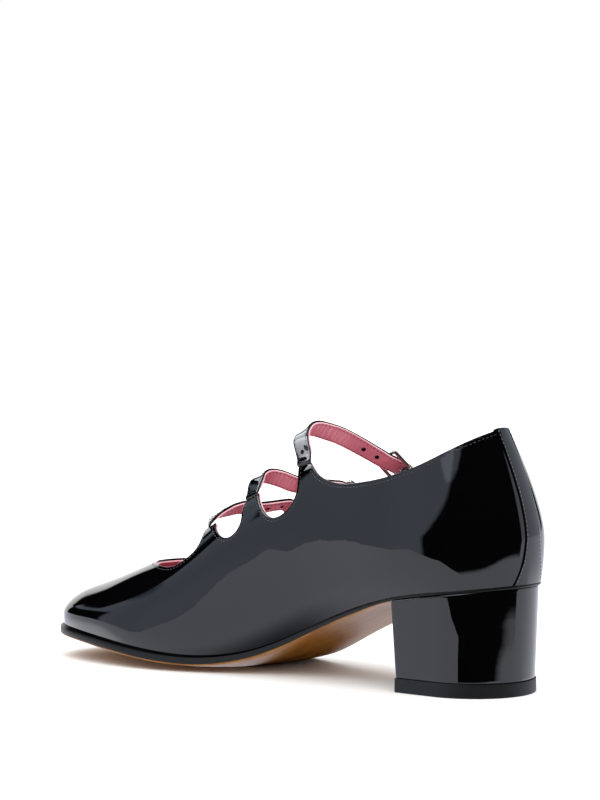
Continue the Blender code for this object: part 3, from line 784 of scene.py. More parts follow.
def edge_run(off, inset, lift):
    """Stitches beside the cut, leaving out any that a corner puts too near it."""
    points, normal, along, toward = cut_frame(off)
    line = points - toward * inset + normal * lift
    centre, along, normal = spaced(line, STITCH_PITCH, along, normal)
    nearest = np.linalg.norm(centre[:, None] - points[None], axis=-1).min(1)
    clear = nearest > 0.86 * inset
    return centre[clear], along[clear], normal[clear]


place(sew("collar_stitches", [edge_run(0.0, EDGE_INSET, 0.0)], black_thread),
      "patent_leather")
inside = edge_run(-(PATENT_THICK + LINING_THICK), EDGE_INSET, 0.0)
place(sew("lining_stitches", [inside], rose_thread), "lining_leather")

# %% [markdown]
# ## The strip up the back
#
# The two quarters meet in a seam at the back of the heel, and a narrow strip
# covers it. It widens towards the sole and folds over the collar, where its
# thickness stands up as a small cap. It follows the skin, so it is the skin
# again, lifted by its own thickness across a narrow band.

# %% Back strip
STRIP_HEIGHTS = (44.0, 50.0, 57.0, 68.0, 88.0, 108.0)
STRIP_HALVES = (11.6, 8.6, 6.6, 5.4, 5.1, 5.1)
STRIP_THICK, STRIP_FOOT, COLLAR_HEIGHT = 0.42, 45.3, 107.5
WALL = PATENT_THICK + LINING_THICK


def back_skin(a, z, off):
    """The skin at share a of the strip's half width and height z. Near the seam the
    distance from it grows in step with u, so u = a * half / (y per unit of u)."""
    a, z, off = np.broadcast_arrays(a, z, off)
    table = np.linspace(1, 0.05, SEARCHED)
    v = np.interp(z, last(np.zeros(SEARCHED), table)[:, 2], table)
    small = 0.02
    across = last(station(np.full(v.shape, small)), v)[..., 1] / small
    half = spline(STRIP_HEIGHTS, STRIP_HALVES, z)
    return skin(np.abs(a) * half / across, np.where(a < 0, -v, v), off)


def strip_path(depth):
    """(height, depth) up the outside, over the collar and down the inside, with the
    strip's own thickness taken off by `depth`."""
    rise = np.linspace(STRIP_FOOT, COLLAR_HEIGHT - 0.3, 90)
    fall = np.linspace(COLLAR_HEIGHT - 0.5, COLLAR_HEIGHT - 5.0, 10)
    over = np.radians(np.linspace(0, 180, 11))
    half = WALL / 2 + 0.1 + STRIP_THICK - depth
    z = np.concatenate([rise, COLLAR_HEIGHT + (0.75 - depth) * np.sin(over), fall])
    off = np.concatenate([0 * rise + STRIP_THICK - depth,
                          -WALL / 2 + half * np.cos(over), 0 * fall - WALL / 2 - half])
    return z[:, None], off[:, None]


share = np.linspace(-1, 1, 41)[None]
edge = np.sqrt(1 - share**10)
(z_out, off_out), (z_in, off_in) = strip_path(0.0), strip_path(STRIP_THICK)
drop = 0.5 * share**2 * (z_out > 100)
strip_outer = back_skin(share, z_in + (z_out - z_in) * edge - drop,
                        off_in + (off_out - off_in) * edge)
strip_inner = back_skin(share, z_in - drop, off_in + 0 * share)
place(make_mesh("back_strip", *slab(strip_outer, strip_inner), [patent], crease=50),
      "patent_leather")

height = np.linspace(46.5, 106.6, 400)
runs = []
for side in (-1, 1):
    inset = side * (1 - 1.25 / spline(STRIP_HEIGHTS, STRIP_HALVES, height))
    line, above = (back_skin(inset, height, off) for off in (STRIP_THICK, STRIP_THICK + 1))
    runs.append(spaced(line, 1.75, np.gradient(line, axis=0), above - line))
# painted glint: this black thread is coloured mid grey to stand for its highlights
place(sew("back_strip_stitches", runs, strip_thread_painted_glint, length=1.2), "patent_leather")

# %% [markdown]
# ## The sole
#
# The sole is cut from one sheet of bend leather. Its face is waxed tan, and its
# edge is inked black and ironed round. It is thinnest under the heel seat and
# thickest in the forefoot, where it lies flat on the floor. A closed profile is
# carried from heel to toe: across the top, round one edge, back underneath.

# %% Sole shape
SOLE_ROWS = np.array([  # s, thickness, how far the edge stands out
    [0, 0.9, 0.0], [25, 0.8, 0.1], [50, 0.9, 0.2], [75, 2.2, 0.4], [100, 2.6, 0.4],
    [125, 2.9, 0.8], [150, 3.2, 1.4], [175, 3.3, 1.7], [200, 3.2, 1.7],
    [220, 3.1, 1.7], [242, 3.0, 1.7],
])


def bed(x, y):
    """Height of the last's bottom over a point of the plan: the two edge heights
    blended across, less dish * (1 - across^2)."""
    s = np.clip(x, 0, LENGTH)
    across = np.clip((y - last_column("axis", s)) / last_column("half", s), -1.1, 1.1)
    medial, lateral = last_column("medial", s), last_column("lateral", s)
    return ((medial + lateral) / 2 + (medial - lateral) / 2 * across
            - last_column("dish", s) * (1 - across**2))


def sole_at(s, column):
    return np.interp(s, SOLE_ROWS[:, 0], SOLE_ROWS[:, column])


def sole_bottom(x, y):
    """Underside of the sole, never below the floor."""
    return np.maximum(bed(x, y) - 0.3 - sole_at(np.clip(x, 0, LENGTH), 1), 0)


def plan_outline(count, grow):
    """The two edges of the sole line in plan, from heel to toe, moved out by `grow`
    along the normal of the closed outline. Each is an array of (x, y)."""
    s = station(np.linspace(0, 1, count))
    lean = last(s, 1 + 0 * s)[:, 0]
    half = (last_column("half", s) * end_round(s, HEEL_ROUND)
            * end_round(LENGTH - s, TOE_ROUND))
    axis = last_column("axis", s)
    loop = np.concatenate([
        np.stack([lean, axis + half], -1), np.stack([lean, axis - half], -1)[-2:0:-1]])
    stations = np.concatenate([s, s[-2:0:-1]])
    loop = loop + left_of(loop) * (grow(stations) + 0 * stations)[:, None]
    other = np.concatenate([loop[:1], loop[:count - 1:-1], loop[count - 1:count]])
    return loop[:count], other


def plate_rings(count, across, grow, roll, top, bottom, turns=7):
    """Profiles of a plate from heel to toe. The edge is a rounded square: `roll` wide,
    with its height from top to bottom as sin(a), and its reach as cos(a)^0.5."""
    turn = np.radians(np.linspace(90, -90, turns + 2))[1:-1]
    share = np.linspace(0, 1, across)[:, None, None]
    medial, lateral = plan_outline(count, lambda s: grow(s) - roll)
    faces = medial + (lateral - medial) * share
    edges = [plan_outline(count, lambda s, a=a: grow(s) - roll * (1 - math.cos(a)**0.5))
             for a in turn]
    lateral_edge, medial_edge = (np.stack([pair[k] for pair in edges]) for k in (1, 0))

    def lifted(plan, weight):
        x, y = plan[..., 0], plan[..., 1]
        z = bottom(x, y) + (top(x, y) - bottom(x, y)) * weight
        return np.concatenate([plan, z[..., None]], -1)

    weight = ((1 + np.sin(turn)) / 2)[:, None]
    rings = np.concatenate([
        lifted(faces, 1.0), lifted(lateral_edge, weight),
        lifted(faces[::-1], 0.0), lifted(medial_edge[::-1], weight[::-1])])
    return rings.transpose(1, 0, 2)


print("sole thickness at the ball, mm:", float(sole_at(175, 1)))

# %% [markdown]
# Waxed sole leather has long shallow streaks along the foot, where the rollers
# pressed it, and darker clouds where the wax went in. Edge ink is nearly black
# and half glossy, with the layers of the leather showing as faint level lines.

# %% Sole finishes


def waxed_leather(name):
    """Tan leather under wax: streaks along X from noise stretched twelve times."""
    made, tree, shader, here = finish(
        name, Roughness=0.42, Specular_IOR_Level=0.15)
    long = add(tree, "ShaderNodeMapping", {"Vector": here}, Scale=(1 / 12, 1, 1))
    streak = add(tree, "ShaderNodeTexNoise", {"Vector": long.outputs[0]},
                 Scale=per_mm(2.5), Detail=5.0)
    cloud = add(tree, "ShaderNodeTexNoise", {"Vector": here}, Scale=per_mm(30), Detail=3.0)
    both = add(tree, "ShaderNodeMath", {0: streak.outputs[0], 1: cloud.outputs[0]},
               operation="MULTIPLY")
    shade = add(tree, "ShaderNodeValToRGB", {"Fac": both.outputs[0]})
    shades = (0.14, "#7d4d1c"), (0.36, "#9d6a2d")
    for stop, (at, text) in zip(shade.color_ramp.elements, shades):
        stop.position, stop.color = at, colour(text)
    bump = add(tree, "ShaderNodeBump", {"Height": streak.outputs[0]},
               Strength=0.4, Distance=0.05 * MM)
    tree.links.new(shade.outputs[0], shader.inputs["Base Color"])
    tree.links.new(bump.outputs[0], shader.inputs["Normal"])
    return made


def edge_ink(name):
    """Ironed ink: level lines a third of a millimetre apart, from a wave along Z."""
    made, tree, shader, here = finish(
        name, Base_Color=colour("#0a0a0a"), Roughness=0.34, Specular_IOR_Level=0.22)
    level = add(tree, "ShaderNodeTexWave", {"Vector": here}, bands_direction="Z",
                Scale=per_mm(0.33) / 20, Distortion=1.5, Detail=2.0)
    bump = add(tree, "ShaderNodeBump", {"Height": level.outputs["Fac"]},
               Strength=0.35, Distance=0.03 * MM)
    tree.links.new(bump.outputs[0], shader.inputs["Normal"])
    return made


tan, ink = waxed_leather("waxed_sole_leather"), edge_ink("sole_edge_ink")
ACROSS, TURNS = 15, 7  # points across each face, and round each edge
HEEL_SEAT = 54.0  # mm from the back: the ink covers the sole as far as here
rings = plate_rings(240, ACROSS, lambda s: sole_at(s, 2), 0.45,
                    lambda x, y: bed(x, y) - 0.04, sole_bottom, TURNS)
points, (quads, *caps) = carried(rings)
column = quads[:, 0] % rings.shape[1]
bare = (column >= ACROSS + TURNS - 2) & (column < 2 * ACROSS + TURNS + 1)
bare &= points[quads[:, 0], 0] > HEEL_SEAT
place(make_mesh("leather_outsole", points, [quads[~bare], quads[bare], *caps], [ink, tan],
                crease=50, marks=[0, 1, 0, 0]), "sole_leather", "outsole")

# %% [markdown]
# ## The sock
#
# Inside, a thin sock of the lining kid covers the board that the foot stands
# on. It is the same plate as the sole, smaller and with a rolled edge.

# %% Insole
SOCK_THICK = 2.4
rings = plate_rings(160, 15, lambda s: -(WALL + 0.12) + 0 * s, 0.6,
                    lambda x, y: bed(x, y) + SOCK_THICK, bed, 5)
place(make_mesh("kid_sock", *carried(rings), [lining], crease=50),
      "lining_leather", "insole")

# %% [markdown]
# ## The heel
#
# A block heel is turned from plastic, covered in the upper's leather, and shod
# with a rubber lift. In plan it is a D with its flat side at the breast. The
# cover is pulled over the edges, so they are round by half a millimetre, and
# that round catches the thin line of light just under the sole. The lift is matt
# and has the fine pitting of its mould.

# %% Heel and lift
HEEL_TOP = dict(back=2.3, breast=52.6, half=26.6)
HEEL_FOOT = dict(back=3.9, breast=50.6, half=26.0)
LIFT_HEIGHT, LIFT_EDGE = 5.8, 0.4  # the lift stands out by its edge
HEEL_EDGE_ROUND, LIFT_EDGE_ROUND = 0.55, 0.35


def heel_plan(back, breast, half, count=96):
    """A D in plan: a half circle for the back, straight sides, and corners of 1.5 mm."""
    reach, corner = half * 1.02, 1.5
    turn = np.linspace(0, np.pi, count)
    curve = np.stack([back + reach - reach * np.sin(turn), half * np.cos(turn)], -1)
    a = np.radians(np.linspace(90, 0, 9))
    side = np.stack([breast - corner + corner * np.sin(a),
                     half - corner - 0.4 + corner * np.cos(a)], -1)
    return np.concatenate([side, curve, side[::-1] * (1, -1)])


def turned_block(plan_at, floor, ceiling, round_edge, rows=34):
    """Rings from floor to ceiling, drawn in at both ends by a quarter circle:
    inset = r (1 - sqrt(1 - t^2)), where t runs to 1 over the last r of height."""
    share = (1 - np.cos(np.linspace(0, np.pi, rows))) / 2
    rings = []
    for k in share:
        plan = plan_at(k)
        tall = ceiling(plan) - floor
        ends = np.minimum(k, 1 - k) * tall
        t = np.clip(1 - ends / round_edge, 0, 1)
        normal = left_of(plan)
        normal *= np.sign((normal * (plan - plan.mean(0))).sum(1))[:, None]
        inset = round_edge * (1 - np.sqrt(1 - t**2))
        rings.append(np.column_stack([plan - normal * inset[:, None], floor + k * tall]))
    return np.array(rings)


def heel_at(k):
    foot, top = heel_plan(**HEEL_FOOT), heel_plan(**HEEL_TOP)
    return foot + (top - foot) * k


rubber = grained("moulded_lift_rubber", "#0c0d0e", 0.7, 0.06, 0.5, 3.0,
                 Roughness=0.52, Specular_IOR_Level=0.22)
rings = turned_block(heel_at, LIFT_HEIGHT,
                     lambda plan: sole_bottom(plan[:, 0], plan[:, 1]) - 0.03,
                     HEEL_EDGE_ROUND)
place(make_mesh("covered_heel", *carried(rings), [patent], crease=60),
      "heel_cover", "heel_block")
grown = heel_plan(HEEL_FOOT["back"] - LIFT_EDGE, HEEL_FOOT["breast"] + LIFT_EDGE,
                  HEEL_FOOT["half"] + LIFT_EDGE)
rings = turned_block(lambda k: grown, 0.0, lambda plan: LIFT_HEIGHT + 0 * plan[:, 0],
                     LIFT_EDGE_ROUND)
place(make_mesh("rubber_lift", *carried(rings), [rubber], crease=60),
      "lift_rubber", "heel_lift")

# %% [markdown]
# ## Where the straps run
#
# A strap is a flat band, and what matters is how its width turns along the way.
# It lies on the tab that it is sewn to, arches over the instep, passes under the
# front bar of its buckle and over the hinge bar, and its free end lies down the
# outer side. The route is a spline through a few points, each with a tilt.

# %% Strap routes
GAP = 0.3
STRAP_WIDTH, STRAP_THICK = 8.0, 2.0
STRAP_SEWN = {  # x, z, tilt in degrees, mm off the inner side
    1: [(102.0, 90.4, 6, 0.2), (102.9, 94.0, 6, 0.4)],
    2: [(132.6, 75.2, 8, 0.2), (133.1, 77.6, 10, 0.5)],
    3: [(157.8, 61.2, 37, 0.2)],
}
STRAP_PATHS = {  # x, y, z, tilt
    1: [(105.2, 16.6, 98.8, 12), (106.3, 15.4, 102.2, 22), (106.6, 12.2, 104.4, 34),
        (105.6, 8.0, 105.4, 44), (103.2, 1.6, 103.9, 52), (99.6, -5.6, 101.0, 52)],
    2: [(133.9, 12.2, 80.6, 14), (134.0, 9.8, 82.9, 22), (132.3, 6.0, 83.9, 40),
        (128.2, 0.2, 82.2, 50), (124.0, -5.6, 79.8, 48)],
    3: [(155.9, 13.4, 65.1, 37), (153.8, 9.6, 67.2, 37), (152.0, 5.0, 68.6, 37),
        (149.8, 0.2, 69.2, 37), (146.8, -5.0, 68.7, 35)],
}
BUCKLES = {  # hinge bar, the way the strap comes to it, and its tilt there
    1: dict(x=84.3, z=83.5, toward=(0.46, 0.79, 0.41), tilt=38),
    2: dict(x=108.4, z=69.4, toward=(0.46, 0.78, 0.42), tilt=38),
    3: dict(x=136.0, z=60.6, toward=(0.42, 0.82, 0.38), tilt=30),
}
STRAP_TAIL = 17.0
BUCKLE_LENGTH, BUCKLE_HALF, BUCKLE_CORNER = 10.4, 5.3, 1.6
FRAME_WIRE, PRONG_WIRE = 0.8, 0.6  # radii
TAB_THICK, TAB_WIDTH, TAB_LENGTH = 2.0, 6.6, 9.0
HINGE_REACH = FRAME_WIRE + GAP + 1.0  # hinge bar to the tab's outer face
HINGE_OFF = HINGE_REACH + GAP + 0.1  # hinge bar to the upper


def beside_wall(side, x, z, off):
    """A point `off` outside the skin at x and height z, on the inner side (1) or the
    outer side (-1): the nearest tabulated point of that section, moved out."""
    v = side * np.linspace(1, 0.02, SEARCHED)
    wall = last(np.full(SEARCHED, x), v)
    i = int(np.abs(wall[:int(wall[:, 2].argmax()), 2] - z).argmin())
    normal = unit(np.cross(last(x + 0.5, v[i]) - last(x - 0.5, v[i]),
                           last(x, v[i] + 0.005) - last(x, v[i] - 0.005)))
    return wall[i] + normal * off * (side if normal[1] > 0 else -side)


def buckle_frame(number):
    """Where a buckle sits: its hinge bar, the directions across it, down the wall and
    out of it, the middle of its front bar, and the strap's middle at each bar."""
    at = BUCKLES[number]
    hinge = beside_wall(-1, at["x"], at["z"], HINGE_OFF)
    near, far = (beside_wall(-1, at["x"], at["z"], off) for off in (1.0, 2.0))
    out = unit(far - near)
    tilt = math.radians(at["tilt"])
    across = np.array([-math.cos(tilt), 0, math.sin(tilt)])
    across = square_to(across, out)
    down = facing(np.cross(across, out), (0, 0, -1))
    toward = square_to(unit(at["toward"]), across)
    face = facing(np.cross(across, toward), out)
    over = HINGE_REACH + GAP + STRAP_THICK / 2
    under = FRAME_WIRE + GAP + STRAP_THICK / 2
    step = math.sqrt(BUCKLE_LENGTH**2 - (over + under)**2)
    crossing = hinge + over * face
    front = crossing + step * toward + under * face
    return hinge, across, down, out, front, crossing, crossing + step * toward


def strap_line(number):
    """Middle of a strap, and at each point the directions along it, across it and out
    of its face. The width leans by the tilt, eased to the wall where it is sewn and
    to the hinge bar inside the buckle."""
    hinge, across, down, out, front, crossing, entry = buckle_frame(number)
    half, tilt = STRAP_THICK / 2, BUCKLES[number]["tilt"]
    path = [[*beside_wall(1, px, pz, off), lean] for px, pz, lean, off in STRAP_SEWN[number]]
    path += [list(row) for row in STRAP_PATHS[number]]
    path += [[*(entry + 0.3 * (entry - crossing)), tilt], [*entry, tilt], [*crossing, tilt]]
    for drop, off in ((3.5, HINGE_OFF + HINGE_REACH + half + 0.1),  # over the tab's fold,
                      (8.5, TAB_THICK + half + 1.6),  # over its two layers,
                      (STRAP_TAIL, half + 1.6)):  # and beside the upper
        spot = hinge + down * drop
        path.append([*beside_wall(-1, spot[0], spot[2], off), tilt])
    line = smooth_path(path, 2.2)
    along, tilt = direction(line[:, :3]), np.radians(line[:, 3])
    width = square_to(np.stack([-np.cos(tilt), 0 * tilt, np.sin(tilt)], -1), along)
    start = STRAP_SEWN[number][0]
    normal = beside_wall(1, *start[:2], 2.0) - beside_wall(1, *start[:2], 1.0)
    ease = np.clip(1.4 - np.arange(len(line)) / 5, 0, 1)[:, None]
    width = unit(width + (unit(np.cross(along, normal)) - width) * ease)
    beyond = np.linalg.norm(line[:, :3] - entry, axis=1).argmin() - 2
    ease = np.clip((np.arange(len(line)) - beyond) / 2, 0, 1)[:, None]
    width = unit(width + (square_to(across, along) - width) * ease)
    face = unit(np.cross(along, width))
    return line[:, :3], width, face if face[len(face) // 2, 2] > 0 else -face


def fine_strap(number, step=0.3):
    """The same route read every `step` mm: a spline over the distance along it, with
    width and face made square to it again."""
    line, width, face = strap_line(number)
    run = distance(line)
    at = np.linspace(0, run[-1], int(run[-1] / step))
    line = spline(run, line, at)
    along = direction(line)
    width = square_to(spline(run, width, at), along)
    other = np.cross(along, width)
    sign = np.sign((other * spline(run, face, at)).sum(1))[:, None]
    return at, line, along, width, unit(other) * sign


STRAPS = {number: fine_strap(number) for number in STRAP_PATHS}
print("strap lengths, mm:", {n: round(float(s[0][-1]), 1) for n, s in STRAPS.items()})

# %% [markdown]
# ## The straps
#
# Like the upper, a strap is patent leather over kid, with both edges left cut and
# a row of thread along each. Where it is sewn down, the kid is skived away to
# nothing, so the end lies flat on its tab. Bending has creased the kid across, most
# of all on the inside of the arch. The creases are made in the mesh, so they still
# show when the strap is seen from below, and the kid is painted paler along them as
# a painted highlight.

# %% Straps
SKIN_SHARE, TIP = 1.1, 4.5  # mm of patent leather in the thickness; rounded end


def rounded(wide, low, high, count=32, square=6.0):
    """A rounded rectangle, as a superellipse: half widths times the 2/n power of
    cos and sin, with n = `square`, between the heights low and high."""
    a = circle(count, np.pi / count)
    x = np.sign(np.cos(a)) * np.abs(np.cos(a))**(2 / square) * wide / 2
    y = np.sign(np.sin(a)) * np.abs(np.sin(a))**(2 / square) * (high - low) / 2
    return x, y + (high + low) / 2


def creases(run, x):
    """0 to 1 at each distance along the strap and x across it: a sine of 1.9 mm, whose
    phase sways slowly both ways so that the creases wander and fork, squared. They are
    deep under the arch, at 24 mm, and fade along the strap and towards its sewn edges."""
    run, x = run[:, None], x[None]
    phase = (2 * np.pi * run / 1.9 + 2.0 * np.sin(run / 3.1 + 0.35 * x)
             + 1.1 * np.sin(run / 1.3 - 0.5 * x) + 0.5 * x)
    patch = 0.75 + 0.25 * np.sin(run / 4.3 + 0.6 * x)
    under_arch = 0.25 + 0.75 / (1 + ((run - 24) / 15)**4)
    held = np.clip(1 - (x / (0.42 * STRAP_WIDTH))**4, 0, 1)
    return np.clip(np.sin(phase), 0, 1)**2 * patch * under_arch * held


def band(run, line, width, face, profile, skived, depth=0.0):
    """Rings of a profile along a line, narrowed to a round tip over the last TIP mm as
    sqrt(1 - t^2). The height from the seam of the two leathers is multiplied by 0.03 at
    the sewn end, rising smoothly to 1 between the two distances `skived`. `depth` raises
    the underside where the leather creases."""
    x, y = profile
    grow = np.clip((run - skived[0]) / (skived[1] - skived[0]), 0, 1)
    grow = (0.03 + 0.97 * grow**2 * (3 - 2 * grow))[:, None]
    t = np.clip(1 - (run[-1] - run) / TIP, 0, 1)
    narrow = np.maximum(np.sqrt(1 - t**2), 0.02)[:, None, None]
    rise = depth * creases(run, x) * (y < y.mean())
    high = LINING_HIGH + (y[None] + rise - LINING_HIGH) * grow
    return (line[:, None] + width[:, None] * x[None, :, None] * narrow
            + face[:, None] * high[..., None])


def run_along(number, share, height, start, stop):
    """A row of stitches on a strap, at a share of its half width."""
    run, line, along, width, face = STRAPS[number]
    use = (run > start) & (run < run[-1] - stop)
    line = (line + width * (share * STRAP_WIDTH / 2) + face * height)[use]
    return spaced(line, 1.8, along[use], face[use])


LINING_LOW, LINING_HIGH = -STRAP_THICK / 2, STRAP_THICK / 2 - SKIN_SHARE
for number, (run, line, along, width, face) in STRAPS.items():
    profile = rounded(STRAP_WIDTH, LINING_HIGH, STRAP_THICK / 2)
    rings = band(run, line, width, face, profile, (-1.0, 1.2))
    place(make_mesh(f"strap_{number}_patent", *carried(rings), [patent_straps], crease=60),
          "patent_leather", f"strap_{number}")
    profile = rounded(STRAP_WIDTH - 0.1, LINING_LOW, LINING_HIGH + 0.02, 48)
    rings = band(run, line, width, face, profile, (2.0, 6.5), depth=0.22)
    points, (quads, *caps) = carried(rings)
    column = quads[:, 0] % len(profile[0])
    cut_side = np.abs(profile[0][column]) > 0.475 * STRAP_WIDTH
    # painted highlight: the kid is painted paler along the crease lines
    crease_highlight = 0.7 * creases(run, profile[0])
    place(make_mesh(f"strap_{number}_lining", points,
                    [quads[~cut_side], quads[cut_side], *caps], [lining, raw_edge],
                    crease=70, marks=[0, 1, 1, 1], crease_highlight=crease_highlight), "lining_leather")
    top = [run_along(number, side, STRAP_THICK / 2, 1.4, 4.0) for side in (-0.76, 0.76)]
    place(sew(f"strap_{number}_stitches", top, black_thread, length=1.2, width=0.3),
          "patent_leather")
    low = [run_along(number, side, -STRAP_THICK / 2, 9.0, 22.0) for side in (-0.78, 0.78)]
    low = [(c, a, -n) for c, a, n in low]
    place(sew(f"strap_{number}_lining_stitches", low, maroon_thread, length=1.2, width=0.3),
          "lining_leather")

# %% [markdown]
# ## Holes and the sewn ends
#
# The holes are punched with a round tube, and the punch turns their rim in. Each
# one is a shallow cup with a rolled lip, laid on the face of the strap and painted
# near black: painted shade for the depth of the hole. The sewn end is held by two
# rows of thread across it.

# %% Holes, and thread across the ends
HOLES, NEAR_HOLE = (5.2, 12.4), 5.8  # mm before the buckle, and from the sewn end
END_ROWS = (1.5, 3.1)  # mm from the sewn end


def punched(number, places, side, radius=0.85):
    """Cups on one face of a strap: a turned profile of (radius, height) at each place,
    a distance along the strap. The lip stands 0.05 mm proud."""
    run, line, along, width, face = STRAPS[number]
    reach = np.array([1.22, 1.12, 1.0, 0.94, 0.90, 0.0]) * radius
    level = np.array([-0.03, 0.05, 0.04, 0.02, 0.015, 0.015])
    a, parts = circle(24)[:, None], []
    quads = grid_faces(len(reach), len(a), around=True)
    for spot in places:
        i = int(np.abs(run - spot).argmin())
        centre = line[i] + side * face[i] * STRAP_THICK / 2
        ring = (reach[:, None, None] * (np.cos(a) * along[i] + np.sin(a) * width[i])
                + level[:, None, None] * side * face[i])
        parts.append(((centre + ring).reshape(-1, 3), [quads]))
    return together(parts)


# painted shade: a near-black sheet stands for the dark inside each hole
hole_shade = grained("painted_hole_shade", "#0b0809", 0.5, 0.05, Roughness=0.9,
               Specular_IOR_Level=0.1)
for number, (run, line, along, width, face) in STRAPS.items():
    entry = buckle_frame(number)[6]
    reach = run[np.linalg.norm(line - entry, axis=1).argmin()]
    below = [reach - before for before in HOLES]
    place(make_mesh(f"strap_{number}_holes_inside", *punched(number, below, -1), [hole_shade]),
          "lining_leather")
    above = [*([NEAR_HOLE] if number == 1 else []), *below]
    place(make_mesh(f"strap_{number}_holes_outside", *punched(number, above, 1), [hole_shade]),
          "patent_leather")
    rows = []
    for spot in END_ROWS:
        i = int(np.abs(run - spot).argmin())
        share = np.linspace(-0.62, 0.62, 60)[:, None] * STRAP_WIDTH / 2
        across = line[i] + face[i] * STRAP_THICK / 2 + width[i] * share
        rows.append(spaced(across, 1.5, np.repeat(width[i][None], 60, 0),
                           np.repeat(face[i][None], 60, 0)))
    place(sew(f"strap_{number}_end_stitches", rows, black_thread, length=1.15, width=0.3),
          "patent_leather")

# %% [markdown]
# ## Buckles
#
# The frame is one loop of wire with rounded corners, and the prong is a shorter
# wire curled round the hinge bar. A curve object with a bevel could make both,
# but rings of points keep the exact places of the bars, so the strap passes
# between them. Dark nickel is bright metal under a thin grey plate.

# %% Plated metal and wires


def dark_nickel(name):
    """Cast and plated metal: dark grey mirror, dulled by tiny scratches."""
    made, tree, shader, here = finish(name, Base_Color=colour("#a8a5a1"), Metallic=1.0)
    haze = add(tree, "ShaderNodeTexNoise", {"Vector": here}, Scale=per_mm(1.6), Detail=4.0)
    rough = add(tree, "ShaderNodeMapRange", {"Value": haze.outputs[0]},
                To_Min=0.14, To_Max=0.30)
    bump = add(tree, "ShaderNodeBump", {"Height": haze.outputs[0]},
               Strength=0.3, Distance=0.02 * MM)
    tree.links.new(rough.outputs[0], shader.inputs["Roughness"])
    tree.links.new(bump.outputs[0], shader.inputs["Normal"])
    return made


nickel = dark_nickel("dark_nickel_plate")


def wire(path, radius, sides, closed=False, taper=0.0):
    """Circles of `radius` along a path that lies nearly in one plane. With taper, the
    radius falls towards the far end by that share."""
    along = unit(np.roll(path, -1, 0) - np.roll(path, 1, 0)) if closed else direction(path)
    flat = unit(np.linalg.svd(path - path.mean(0))[2][2])
    side = unit(np.cross(along, flat))
    turn = circle(sides)
    size = radius * (1 - taper * np.linspace(0, 1, len(path))**3)[:, None, None]
    return path[:, None] + size * (np.cos(turn)[:, None] * side[:, None]
                                   + np.sin(turn)[:, None] * flat)


def frame_path(number, turns=12):
    """The frame's middle line: straight bars joined by quarter circles."""
    hinge, across, down, out, front, *_ = buckle_frame(number)
    ahead, path = unit(front - hinge), []
    wide = BUCKLE_HALF - BUCKLE_CORNER
    corners = ((1, BUCKLE_LENGTH - BUCKLE_CORNER), (-1, BUCKLE_LENGTH - BUCKLE_CORNER),
               (-1, BUCKLE_CORNER), (1, BUCKLE_CORNER))
    for quarter, (side, reach) in enumerate(corners):
        a = np.radians(np.linspace(0, 90, turns) + 90 * quarter)[:, None]
        path.append(hinge + ahead * (reach + BUCKLE_CORNER * np.sin(a))
                    + across * (side * wide + BUCKLE_CORNER * np.cos(a)))
    return np.concatenate(path)


def prong_path(number):
    """From a loop round the hinge bar, up through the strap and over the front bar."""
    hinge, across, down, out, front, *_ = buckle_frame(number)
    ahead = unit(front - hinge)
    lift = facing(np.cross(across, ahead), out)
    ring = FRAME_WIRE + 0.2 + PRONG_WIRE
    turn = np.radians(np.linspace(-205, 60, 24))[:, None]
    loop = hinge + ring * (np.cos(turn) * ahead + np.sin(turn) * lift)
    reach = [hinge + ahead * (BUCKLE_LENGTH * share) + lift * height
             for share, height in ((0.22, 1.75), (0.45, 1.85), (0.75, 1.75), (1.0, ring),
                                   (1.12, ring - 0.2))]
    return smooth_path(np.concatenate([loop[::3], reach]), 0.35)


for number in BUCKLES:
    rings = wire(frame_path(number), FRAME_WIRE, 18, closed=True)
    place(make_mesh(f"buckle_{number}_frame", *carried(rings, closed=True), [nickel],
                    crease=70), "buckle_metal", f"buckle_{number}")
    rings = wire(prong_path(number), PRONG_WIRE, 14, taper=0.25)
    place(make_mesh(f"buckle_{number}_prong", *carried(rings), [nickel], crease=50),
          "buckle_metal", f"prong_{number}")

# %% [markdown]
# Each hinge bar is held by a short piece of strap folded round it. Seen from the
# side it is a keyhole: one turn round the bar, then two layers sewn to the upper
# under the free end of the strap. A slot in the fold lets the prong through.

# %% Folded tabs
FOLD = 1.0  # thickness of the tab's leather


def tab_rings(number, low, high):
    """The folded band between two distances across the buckle: its middle line is
    (down, out) of the hinge bar, and the profile is carried along it."""
    hinge, across, down, out, *_ = buckle_frame(number)
    mid = HINGE_REACH - FOLD / 2
    turn = np.radians(np.linspace(265, 10, 30))
    outer = TAB_THICK - HINGE_REACH - FOLD / 2
    plan = np.concatenate([
        [(TAB_LENGTH, -mid), (TAB_LENGTH * 0.66, -mid), (TAB_LENGTH * 0.33, -mid)],
        np.stack([mid * np.cos(turn), mid * np.sin(turn)], 1),
        [(mid + 1.0, outer), (TAB_LENGTH * 0.5, outer), (TAB_LENGTH, outer)]])
    plan = smooth_path(plan, 0.25)
    line = hinge + down * plan[:, :1] + out * plan[:, 1:]
    face = np.cross(direction(line), across)
    x, y = rounded(high - low, -FOLD / 2, FOLD / 2, 24)
    return (line[:, None] + across * (x + (low + high) / 2)[None, :, None]
            + face[:, None] * y[None, :, None])


SLOT = PRONG_WIRE + 0.25
for number in BUCKLES:
    parts = [carried(tab_rings(number, low, high))
             for low, high in ((-TAB_WIDTH / 2, -SLOT), (SLOT, TAB_WIDTH / 2))]
    place(make_mesh(f"buckle_{number}_fold", *together(parts), [patent_straps], crease=60),
          "patent_leather", f"buckle_tab_{number}")

# %% [markdown]
# ## The floor
#
# The shoe stands on a pale sweep of paper. A plane of one face would do, since the
# only things to see on it are its own even tone and the soft dark line where the
# sole touches it. It is left out of mirror reflections: the studio below already
# says how bright each part of the table looks from the shoe.

